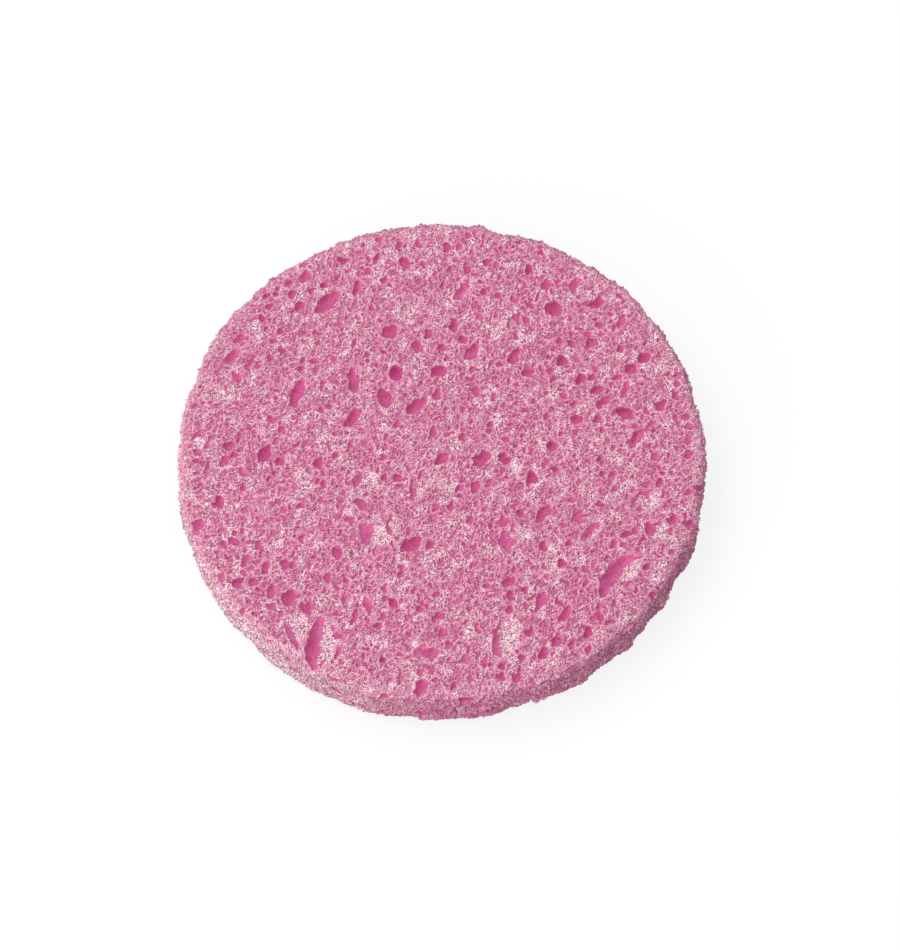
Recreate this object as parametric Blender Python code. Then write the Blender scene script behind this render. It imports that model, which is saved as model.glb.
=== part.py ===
"""Makeup remover sponge, as a standalone Blender 4.5 script in metres with +Z up.

The real thing is one round pad, punched out of a sheet of open-cell cellulose foam, so the model
is one object. The origin is the middle of the underside, +Z is the thickness, and -Y is the side
of the edge that the photograph shows.

The pad is a half section turned about Z. Its punched edge is moved in and out a little, and the
larger pores of the foam are cut out of the top face, the underside and the edge. The pores lean
to one side as they go down, because the sheet was sawn across foam that rose at an angle. Pores
too small to see from a step away are left to the finish.
"""

import math

import bmesh
import bpy
from mathutils import Matrix, Vector

MM = 0.001

# The pad
PAD_DIAMETER = 75.0 * MM
PAD_THICKNESS = 8.5 * MM
RIM_ROUND = 1.2 * MM
RIM_STEPS = 3
WALL_STEPS = 2
ROUND_STEPS = 96

# The punched edge wanders in and out: (waves round the pad, share of the unevenness, start in degrees)
EDGE_UNEVENNESS = 0.4 * MM
EDGE_WAVE_SHARES = (
    (3, 0.25, 20),
    (7, 0.25, 145),
    (17, 0.30, 60),
    (29, 0.20, 250),
)

# The pores
PORE_RISE_SHARE = 0.14  # how far a pore's middle lies above the face, in its own depths
PORE_LEAN_SHARE = 0.35  # how far a pore moves towards -X and towards +Y, in its own depths
SMALL_PORE_SHARE = 0.075  # pores up to this long, in pad radii, have fewer faces
SMALL_PORE_FACES = (8, 4)  # round the pore, and from pole to pole
LARGE_PORE_FACES = (11, 6)
BARE_MIDDLE_RADIUS = 5.0 * MM  # the middle of the underside, which keeps its flat face
UNDERSIDE_TURN = math.radians(143)
UNDERSIDE_STEP = 3  # the underside takes every third pore of the top's

# Pores of the top face, by eye from the photograph. In each row: the middle across (+X) and along
# (+Y), the length and the width, all in pad radii, then the length's turn from +X in degrees,
# and the depth in widths.
TOP_PORE_SHARES = (
    (-0.382, 0.829, 0.050, 0.036, 0, 0.9),
    (-0.142, 0.820, 0.065, 0.045, 110, 0.8),
    (-0.528, 0.755, 0.065, 0.045, 65, 0.6),
    (-0.330, 0.705, 0.078, 0.035, 75, 0.8),
    (-0.440, 0.645, 0.140, 0.055, 50, 0.8),
    (-0.125, 0.605, 0.085, 0.075, 60, 0.4),
    (-0.195, 0.515, 0.075, 0.055, 45, 0.8),
    (-0.545, 0.628, 0.050, 0.034, 30, 0.9),
    (-0.692, 0.573, 0.046, 0.030, 95, 0.9),
    (-0.803, 0.406, 0.088, 0.052, 40, 0.7),
    (-0.780, 0.322, 0.062, 0.028, 118, 0.8),
    (-0.840, 0.245, 0.110, 0.070, 165, 0.4),
    (-0.545, 0.255, 0.132, 0.050, 72, 0.8),
    (-0.335, 0.305, 0.115, 0.038, 95, 0.9),
    (-0.170, 0.338, 0.066, 0.056, 80, 1.0),
    (-0.215, 0.232, 0.088, 0.055, 112, 0.9),
    (-0.090, 0.452, 0.052, 0.040, 100, 0.8),
    (-0.338, 0.145, 0.105, 0.045, 55, 0.9),
    (-0.092, 0.200, 0.112, 0.044, 42, 0.9),
    (-0.005, 0.347, 0.064, 0.050, 20, 0.9),
    (0.020, 0.890, 0.048, 0.034, 85, 0.8),
    (0.175, 0.822, 0.048, 0.034, 30, 0.8),
    (0.082, 0.690, 0.105, 0.045, 52, 0.7),
    (0.340, 0.790, 0.050, 0.036, 80, 1.0),
    (0.405, 0.720, 0.056, 0.038, 65, 0.6),
    (0.435, 0.615, 0.070, 0.065, 20, 0.9),
    (0.522, 0.712, 0.078, 0.055, 85, 0.6),
    (0.600, 0.640, 0.082, 0.045, 20, 0.9),
    (0.050, 0.545, 0.062, 0.038, 85, 0.9),
    (0.122, 0.430, 0.092, 0.045, 62, 0.8),
    (0.285, 0.412, 0.090, 0.036, 66, 0.9),
    (0.332, 0.343, 0.060, 0.040, 30, 0.8),
    (0.465, 0.392, 0.054, 0.046, 60, 0.9),
    (0.580, 0.465, 0.050, 0.034, 25, 0.8),
    (0.780, 0.402, 0.054, 0.044, 50, 0.9),
    (0.730, 0.355, 0.056, 0.046, 0, 0.9),
    (0.535, 0.310, 0.052, 0.038, 45, 0.9),
    (0.595, 0.266, 0.064, 0.036, 20, 0.9),
    (0.705, 0.265, 0.084, 0.038, 72, 0.7),
    (0.615, 0.212, 0.066, 0.036, 32, 0.8),
    (0.705, 0.168, 0.082, 0.046, 150, 1.1),
    (0.515, 0.142, 0.056, 0.036, 10, 0.9),
    (0.842, 0.202, 0.060, 0.036, 50, 0.8),
    (0.745, 0.052, 0.115, 0.060, 50, 0.5),
    (0.420, 0.032, 0.052, 0.042, 40, 0.9),
    (-0.665, -0.002, 0.086, 0.046, 68, 1.0),
    (-0.805, 0.032, 0.046, 0.036, 40, 0.7),
    (-0.830, -0.208, 0.056, 0.038, 102, 1.0),
    (-0.910, -0.298, 0.050, 0.046, 0, 0.6),
    (-0.772, -0.366, 0.048, 0.032, 150, 0.8),
    (-0.650, -0.470, 0.062, 0.032, 80, 0.8),
    (-0.465, -0.042, 0.054, 0.034, 62, 0.9),
    (-0.300, -0.115, 0.088, 0.070, 60, 0.6),
    (-0.090, -0.150, 0.100, 0.050, 85, 0.6),
    (-0.298, -0.212, 0.064, 0.030, 122, 0.8),
    (-0.265, -0.345, 0.120, 0.085, 125, 0.6),
    (-0.182, -0.297, 0.095, 0.048, 95, 0.6),
    (-0.110, -0.376, 0.094, 0.052, 28, 0.9),
    (-0.385, -0.412, 0.054, 0.034, 95, 0.9),
    (-0.750, -0.530, 0.054, 0.038, 10, 0.8),
    (-0.630, -0.567, 0.064, 0.028, 85, 0.8),
    (-0.560, -0.590, 0.076, 0.050, 60, 0.8),
    (-0.496, -0.634, 0.062, 0.040, 125, 0.8),
    (-0.545, -0.725, 0.125, 0.050, 113, 0.5),
    (-0.450, -0.770, 0.200, 0.080, 83, 0.7),
    (-0.345, -0.610, 0.080, 0.052, 110, 0.5),
    (-0.265, -0.632, 0.090, 0.034, 115, 0.7),
    (-0.177, -0.612, 0.046, 0.036, 130, 0.9),
    (-0.055, -0.812, 0.100, 0.068, 0, 0.5),
    (0.155, -0.022, 0.086, 0.055, 40, 0.8),
    (0.240, -0.025, 0.050, 0.044, 100, 0.9),
    (0.000, -0.028, 0.072, 0.038, 38, 0.9),
    (0.345, -0.105, 0.058, 0.044, 98, 0.9),
    (0.130, -0.146, 0.064, 0.032, 75, 0.9),
    (0.385, -0.252, 0.090, 0.040, 52, 0.9),
    (0.235, -0.285, 0.056, 0.042, 48, 0.6),
    (0.252, -0.370, 0.092, 0.070, 80, 0.7),
    (0.385, -0.385, 0.050, 0.032, 80, 0.8),
    (0.512, -0.265, 0.066, 0.030, 50, 0.7),
    (0.562, -0.328, 0.112, 0.050, 50, 0.6),
    (0.695, -0.337, 0.058, 0.030, 18, 0.9),
    (0.755, -0.205, 0.118, 0.072, 35, 0.6),
    (0.815, -0.325, 0.092, 0.068, 10, 0.5),
    (0.872, -0.275, 0.048, 0.032, 70, 0.9),
    (0.660, -0.488, 0.190, 0.080, 47, 0.7),
    (0.252, -0.528, 0.062, 0.036, 18, 0.9),
    (0.258, -0.584, 0.046, 0.032, 110, 0.9),
    (0.370, -0.607, 0.092, 0.032, 72, 0.8),
    (0.235, -0.745, 0.150, 0.075, 86, 0.6),
    (0.425, -0.768, 0.052, 0.036, 50, 0.9),
    (0.458, -0.662, 0.084, 0.034, 55, 0.8),
    (0.380, -0.815, 0.054, 0.034, 70, 0.9),
    (0.545, -0.730, 0.052, 0.040, 75, 0.9),
)

# Pores of the edge. In each row: the bearing from +X in degrees, the height in thicknesses, the
# length round the edge and the height of the pore in pad radii, and the depth in pore heights.
EDGE_PORE_SHARES = (
    (8, 0.45, 0.050, 0.036, 0.6),
    (31, 0.60, 0.060, 0.030, 0.6),
    (57, 0.35, 0.045, 0.040, 0.6),
    (88, 0.55, 0.070, 0.030, 0.6),
    (112, 0.40, 0.050, 0.034, 0.6),
    (139, 0.62, 0.060, 0.030, 0.6),
    (163, 0.45, 0.045, 0.040, 0.6),
    (191, 0.55, 0.060, 0.032, 0.6),
    (218, 0.42, 0.050, 0.030, 0.6),
    (237, 0.50, 0.046, 0.036, 0.6),
    (247, 0.55, 0.050, 0.026, 0.6),
    (266, 0.36, 0.044, 0.030, 0.6),
    (277, 0.62, 0.064, 0.036, 0.6),
    (304, 0.50, 0.060, 0.032, 0.6),
    (318, 0.46, 0.050, 0.036, 0.6),
    (336, 0.55, 0.056, 0.034, 0.6),
)


def clear_scene():
    for thing in list(bpy.data.objects):
        bpy.data.objects.remove(thing)


def add_object(name, shape):
    """Turns a bmesh into a named object of the scene."""
    mesh = bpy.data.meshes.new(name)
    shape.to_mesh(mesh)
    shape.free()
    thing = bpy.data.objects.new(name, mesh)
    bpy.context.scene.collection.objects.link(thing)
    return thing


def foam_material():
    """Pale pink cellulose: quite matt, with no metal in it."""
    material = bpy.data.materials.new("pink_cellulose_foam")
    material.use_nodes = True
    shader = material.node_tree.nodes["Principled BSDF"]
    shader.inputs["Base Color"].default_value = (0.62, 0.23, 0.36, 1.0)
    shader.inputs["Roughness"].default_value = 0.9
    shader.inputs["Metallic"].default_value = 0.0
    return material


def arc(middle, radius, start, end, steps):
    """Points of an arc in the XZ plane, from one angle to another in degrees, both ends included."""
    points = []
    for step in range(steps + 1):
        angle = math.radians(start + (end - start) * step / steps)
        points.append(middle + Vector((radius * math.cos(angle), 0, radius * math.sin(angle))))
    return points


def half_section():
    """The outer half of the pad's section, from the top face round the edge to the underside."""
    inner = PAD_DIAMETER / 2 - RIM_ROUND
    upper = arc(Vector((inner, 0, PAD_THICKNESS - RIM_ROUND)), RIM_ROUND, 90, 0, RIM_STEPS)
    lower = arc(Vector((inner, 0, RIM_ROUND)), RIM_ROUND, 0, -90, RIM_STEPS)
    wall = [upper[-1].lerp(lower[0], step / WALL_STEPS) for step in range(1, WALL_STEPS)]
    return upper + wall + lower


def edge_offset(bearing):
    """How far the punched edge stands out at a bearing in radians."""
    total = 0
    for waves, share, start in EDGE_WAVE_SHARES:
        total += share * math.sin(waves * bearing + math.radians(start))
    return EDGE_UNEVENNESS * total


def pad_body():
    """The pad without its pores: the half section turned once round, closed by two flat faces."""
    shape = bmesh.new()
    points = [shape.verts.new(point) for point in half_section()]
    outline = [shape.edges.new(pair) for pair in zip(points, points[1:])]
    bmesh.ops.spin(
        shape,
        geom=points + outline,
        cent=(0, 0, 0),
        axis=(0, 0, 1),
        angle=math.tau,
        steps=ROUND_STEPS,
        use_merge=True,
    )
    for vertex in shape.verts:
        outwards = Vector((vertex.co.x, vertex.co.y, 0))
        bearing = math.atan2(vertex.co.y, vertex.co.x)
        vertex.co += outwards.normalized() * edge_offset(bearing)
    bmesh.ops.holes_fill(shape, edges=shape.edges[:], sides=0)
    bmesh.ops.recalc_face_normals(shape, faces=shape.faces[:])
    return add_object("sponge_disc", shape)


def add_pore(shape, place, length, width, depth):
    """Adds one ellipsoid, whose own Z points out of the face that it is cut into."""
    is_small = length <= SMALL_PORE_SHARE * PAD_DIAMETER / 2
    sides, rings = SMALL_PORE_FACES if is_small else LARGE_PORE_FACES
    size = Matrix.Diagonal((length / 2, width / 2, depth, 1))
    bmesh.ops.create_uvsphere(
        shape,
        u_segments=sides,
        v_segments=rings,
        radius=1,
        matrix=place @ size,
    )


def lean():
    """A shear that moves a pore's floor towards -X and +Y and leaves its mouth in place."""
    shear = Matrix.Identity(4)
    shear[0][2] = PORE_LEAN_SHARE
    shear[1][2] = -PORE_LEAN_SHARE
    return shear


def face_pore(shape, row, is_top):
    """A pore of the top face, or the same one turned about Z and cut into the underside."""
    radius = PAD_DIAMETER / 2
    across, along, length_share, width_share, turn, depth_share = row
    width = width_share * radius
    depth = depth_share * width
    middle = Vector((across * radius, along * radius, PORE_RISE_SHARE * depth))
    place = Matrix.Translation(middle) @ lean() @ Matrix.Rotation(math.radians(turn), 4, "Z")
    if is_top:
        place = Matrix.Translation((0, 0, PAD_THICKNESS)) @ place
    else:
        # The half turn about X brings the pore to the underside, the other one spreads them anew.
        spread = Matrix.Rotation(UNDERSIDE_TURN, 4, "Z") @ Matrix.Rotation(math.pi, 4, "X")
        place = spread @ place
        reach = place.to_translation().to_2d().length - length_share * radius / 2
        if reach < BARE_MIDDLE_RADIUS:
            return
    add_pore(shape, place, length_share * radius, width, depth)


def edge_pore(shape, row):
    """A pore of the punched edge."""
    radius = PAD_DIAMETER / 2
    bearing_degrees, height_share, length_share, width_share, depth_share = row
    bearing = math.radians(bearing_degrees)
    width = width_share * radius
    depth = depth_share * width
    out = radius + edge_offset(bearing) + PORE_RISE_SHARE * depth
    middle = Matrix.Translation((out, 0, height_share * PAD_THICKNESS))
    # Length round the edge, width up it, depth into it.
    facing = Matrix.Rotation(math.pi / 2, 4, "Y") @ Matrix.Rotation(math.pi / 2, 4, "Z")
    place = Matrix.Rotation(bearing, 4, "Z") @ middle @ facing
    add_pore(shape, place, length_share * radius, width, depth)


def pore_cutter():
    """All pores in one hidden mesh, whose bodies may run into each other."""
    shape = bmesh.new()
    for row in TOP_PORE_SHARES:
        face_pore(shape, row, is_top=True)
    for row in TOP_PORE_SHARES[::UNDERSIDE_STEP]:
        face_pore(shape, row, is_top=False)
    for row in EDGE_PORE_SHARES:
        edge_pore(shape, row)
    cutter = add_object("pore_cutter", shape)
    cutter.hide_render = True
    cutter.display_type = "WIRE"
    return cutter


def main():
    clear_scene()
    pad = pad_body()
    pad.data.materials.append(foam_material())
    pad.data.shade_smooth()
    pad.data.set_sharp_from_angle(angle=math.radians(30))
    pores = pad.modifiers.new("pores", "BOOLEAN")
    pores.operation = "DIFFERENCE"
    pores.solver = "EXACT"
    pores.use_self = True
    pores.object = pore_cutter()


main()
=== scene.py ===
"""Looks of a makeup remover sponge: one round pad of pink open-cell cellulose foam.

The pad is a box of panes, subdivided to a fine even mesh and rounded off to a disc. Its pores are
sunk into that mesh from tables of places and from seeded draws. Geometry nodes then sink the net
of cells between them and tear the edge. The foam's material repeats the same net, so that pale
fibres lie on the ridges and deep pink in the cells.
"""

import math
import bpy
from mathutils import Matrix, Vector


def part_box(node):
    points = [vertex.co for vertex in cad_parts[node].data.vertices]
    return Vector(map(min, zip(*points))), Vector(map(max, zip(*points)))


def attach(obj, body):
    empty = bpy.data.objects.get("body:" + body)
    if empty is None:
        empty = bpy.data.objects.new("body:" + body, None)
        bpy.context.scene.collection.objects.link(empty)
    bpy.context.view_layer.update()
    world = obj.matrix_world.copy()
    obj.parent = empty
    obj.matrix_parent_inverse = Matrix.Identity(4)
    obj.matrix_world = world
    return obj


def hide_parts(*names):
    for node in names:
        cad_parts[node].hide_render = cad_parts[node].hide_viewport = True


bl_info = {
    "name": "Cellulose sponge pad",
    "version": (1, 0, 0),
    "blender": (4, 5, 0),
    "location": "View3D > Sidebar > Sponge",
    "description": "Builds a round pad of pitted cellulose foam and a plain studio round it",
    "category": "Object",
}

from collections import namedtuple
from random import Random
from types import SimpleNamespace

import bmesh
import bpy
import numpy as np
from bpy.props import FloatProperty, FloatVectorProperty, IntProperty, PointerProperty
from mathutils import Matrix, Vector

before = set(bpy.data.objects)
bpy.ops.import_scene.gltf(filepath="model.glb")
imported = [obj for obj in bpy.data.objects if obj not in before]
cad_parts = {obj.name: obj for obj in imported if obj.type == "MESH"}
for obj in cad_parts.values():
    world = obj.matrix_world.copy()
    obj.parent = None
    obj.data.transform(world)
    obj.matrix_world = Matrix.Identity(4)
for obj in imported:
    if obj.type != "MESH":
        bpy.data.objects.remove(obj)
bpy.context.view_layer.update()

MM = 0.001
PAD_LOW, PAD_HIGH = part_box("sponge_disc")
RADIUS = (PAD_HIGH.x - PAD_LOW.x) / 2
THICKNESS = PAD_HIGH.z - PAD_LOW.z

# The punched edge wanders in and out: (waves round the pad, share of the unevenness, start in degrees)
EDGE_WAVE_SHARES = (
    (3, 0.25, 20), (7, 0.25, 145), (17, 0.3, 60), (29, 0.2, 250),
)
# How far the lower rim is set in from the upper one: (bearing in degrees, inset in thicknesses)
LOWER_RIM_SHARES = (
    (0, 0), (200, 0), (245, -0.01), (255, 0), (262, 0.02), (267, -0.02), (272, 0.01), (280, 0.01),
    (287, 0.03), (295, 0.03), (302, -0.01), (306, 0.03), (309, 0.01), (314, -0.04), (318, 0.02),
    (322, 0.03), (326, -0.05), (330, -0.01), (333, 0.03), (337, -0.04), (348, 0), (360, 0),
)
# How pale the edge is painted, as painted light, strongest on its left: (bearing in degrees, share)
LIT_EDGE_SHARES = (
    (0, 0.6), (15, 0.55), (60, 0.4), (130, 0.5), (170, 1), (235, 1), (250, 0.75), (262, 0.5),
    (272, 0.22), (285, 0.14), (310, 0), (340, 0), (350, 0.35), (360, 0.6),
)
# The rims of both faces are paler by this much all round, from one of these shares of the radius on
# and fully from the other.
RIM_PALE_SHARE = 0.3
RIM_PALE_FROM_SHARE, RIM_PALE_FULL_SHARE = 0.92, 0.985

# The pores of the top face that the solid has too. In each row: the middle across (+X) and along
# (+Y), the length and the width, all in thousandths of the pad's radius, then the length's turn
# from +X in degrees, and the depth in widths.
TOP_PORE_SHARES = (
    (-382, 829, 50, 36, 0, 0.9), (-142, 820, 65, 45, 110, 0.8), (-528, 755, 65, 45, 65, 0.6),
    (-330, 705, 78, 35, 75, 0.8), (-440, 645, 140, 55, 50, 0.8), (-125, 605, 85, 75, 60, 0.4),
    (-195, 515, 75, 55, 45, 0.8), (-545, 628, 50, 34, 30, 0.9), (-692, 573, 46, 30, 95, 0.9),
    (-803, 406, 88, 52, 40, 0.7), (-780, 322, 62, 28, 118, 0.8), (-840, 245, 110, 70, 165, 0.4),
    (-545, 255, 132, 50, 72, 0.8), (-335, 305, 115, 38, 95, 0.9), (-170, 338, 66, 56, 80, 1),
    (-215, 232, 88, 55, 112, 0.9), (-90, 452, 52, 40, 100, 0.8), (-338, 145, 105, 45, 55, 0.9),
    (-92, 200, 112, 44, 42, 0.9), (-5, 347, 64, 50, 20, 0.9), (20, 890, 48, 34, 85, 0.8),
    (175, 822, 48, 34, 30, 0.8), (82, 690, 105, 45, 52, 0.7), (340, 790, 50, 36, 80, 1),
    (405, 720, 56, 38, 65, 0.6), (435, 615, 70, 65, 20, 0.9), (522, 712, 78, 55, 85, 0.6),
    (600, 640, 82, 45, 20, 0.9), (50, 545, 62, 38, 85, 0.9), (122, 430, 92, 45, 62, 0.8),
    (285, 412, 90, 36, 66, 0.9), (332, 343, 60, 40, 30, 0.8), (465, 392, 54, 46, 60, 0.9),
    (580, 465, 50, 34, 25, 0.8), (780, 402, 54, 44, 50, 0.9), (730, 355, 56, 46, 0, 0.9),
    (535, 310, 52, 38, 45, 0.9), (595, 266, 64, 36, 20, 0.9), (705, 265, 84, 38, 72, 0.7),
    (615, 212, 66, 36, 32, 0.8), (705, 168, 82, 46, 150, 1.1), (515, 142, 56, 36, 10, 0.9),
    (842, 202, 60, 36, 50, 0.8), (745, 52, 115, 60, 50, 0.5), (420, 32, 52, 42, 40, 0.9),
    (-665, -2, 86, 46, 68, 1), (-805, 32, 46, 36, 40, 0.7), (-830, -208, 56, 38, 102, 1),
    (-910, -298, 50, 46, 0, 0.6), (-772, -366, 48, 32, 150, 0.8), (-650, -470, 62, 32, 80, 0.8),
    (-465, -42, 54, 34, 62, 0.9), (-300, -115, 88, 70, 60, 0.45), (-90, -150, 100, 50, 85, 0.45),
    (-298, -212, 64, 30, 122, 0.8), (-265, -345, 120, 85, 125, 0.45), (-182, -297, 95, 48, 95, 0.4),
    (-110, -376, 94, 52, 28, 0.9), (-385, -412, 54, 34, 95, 0.9), (-750, -530, 54, 38, 10, 0.8),
    (-630, -567, 64, 28, 85, 0.8), (-560, -590, 76, 50, 60, 0.8), (-496, -634, 62, 40, 125, 0.8),
    (-545, -725, 125, 50, 113, 0.4), (-450, -770, 200, 80, 83, 0.4), (-345, -610, 80, 52, 110, 0.5),
    (-265, -632, 90, 34, 115, 0.7), (-177, -612, 46, 36, 130, 0.9), (-55, -812, 100, 68, 0, 0.5),
    (155, -22, 86, 55, 40, 0.8), (240, -25, 50, 44, 100, 0.9), (0, -28, 72, 38, 38, 0.9),
    (345, -105, 58, 44, 98, 0.9), (130, -146, 64, 32, 75, 0.9), (385, -252, 90, 40, 52, 0.9),
    (235, -285, 56, 42, 48, 0.6), (252, -370, 92, 70, 80, 0.45), (385, -385, 50, 32, 80, 0.8),
    (512, -265, 66, 30, 50, 0.7), (562, -328, 112, 50, 50, 0.6), (695, -337, 58, 30, 18, 0.9),
    (755, -205, 118, 72, 35, 0.42), (815, -325, 92, 68, 10, 0.4), (872, -275, 48, 32, 70, 0.9),
    (660, -488, 190, 80, 47, 0.7), (252, -528, 62, 36, 18, 0.9), (258, -584, 46, 32, 110, 0.9),
    (370, -607, 92, 32, 72, 0.8), (235, -745, 150, 75, 86, 0.4), (425, -768, 52, 36, 50, 0.9),
    (458, -662, 84, 34, 55, 0.8), (380, -815, 54, 34, 70, 0.9), (545, -730, 52, 40, 75, 0.9),
)
# A row is a wide pale bowl, and not a dark hole, when it is no deeper than this in widths and no
# shorter than this in radii.
BOWL_DEPTH_SHARE = 0.7
BOWL_LENGTH_SHARE = 0.075

# In each row of the five tables that follow: the middle across and along, the length and the width,
# all in thousandths of the pad's radius, and the turn in degrees.
# Smaller dark pits inside some of the bowls.
BOWL_PIT_SHARES = (
    (-315, -115, 70, 30, 60), (-105, -160, 75, 25, 95), (-80, -90, 45, 15, 65),
    (-195, -280, 60, 20, 70), (-195, -315, 65, 20, 105), (-285, -335, 95, 35, 105),
    (-270, -315, 45, 25, 60), (235, -355, 75, 28, 81), (245, -385, 58, 32, 118),
    (265, -370, 50, 30, 45), (705, -440, 110, 15, 12), (738, 62, 100, 42, 52), (722, -200, 60, 18, 65),
    (765, -168, 80, 16, 18), (748, -228, 34, 34, 60), (782, -315, 60, 38, 110), (806, -292, 50, 18, 20),
    (608, -560, 80, 34, 72), (-460, -730, 135, 38, 70), (-465, -775, 190, 60, 84),
    (-475, -835, 95, 36, 103), (-560, -725, 75, 20, 113), (-540, -770, 90, 20, 114),
    (212, -710, 70, 20, 73), (202, -755, 100, 32, 89), (203, -800, 70, 18, 99),
    (625, -510, 130, 50, 66), (-40, -810, 65, 50, 0),
)

# The deepest places inside the pores, sunk a little and given painted shade.
DEEP_SPOT_SHARES = (
    (-172, 340, 70, 60, 80), (-210, 218, 55, 40, 112), (160, -15, 50, 45, 40), (262, -368, 45, 30, 45),
    (692, 176, 70, 36, 150), (595, 266, 50, 30, 20), (615, 505, 50, 25, 165), (628, -488, 120, 34, 60),
    (-484, -775, 130, 30, 86),
)

# Pale patches, most of them slopes to the right of a bowl, painted pale as painted light on a lit slope.
PALE_PATCH_SHARES = (
    (-415, -775, 190, 70, 80), (-520, -705, 110, 60, 105), (-270, -110, 80, 60, 70),
    (-225, -335, 100, 70, 115), (265, -745, 140, 60, 85), (785, -205, 100, 70, 35),
    (835, -325, 80, 70, 10), (695, -500, 160, 60, 50), (35, -130, 70, 60, 60), (280, -70, 70, 50, 60),
    (-920, 30, 80, 50, 90), (-70, -140, 60, 40, 80), (315, -345, 60, 50, 60),
)

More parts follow.
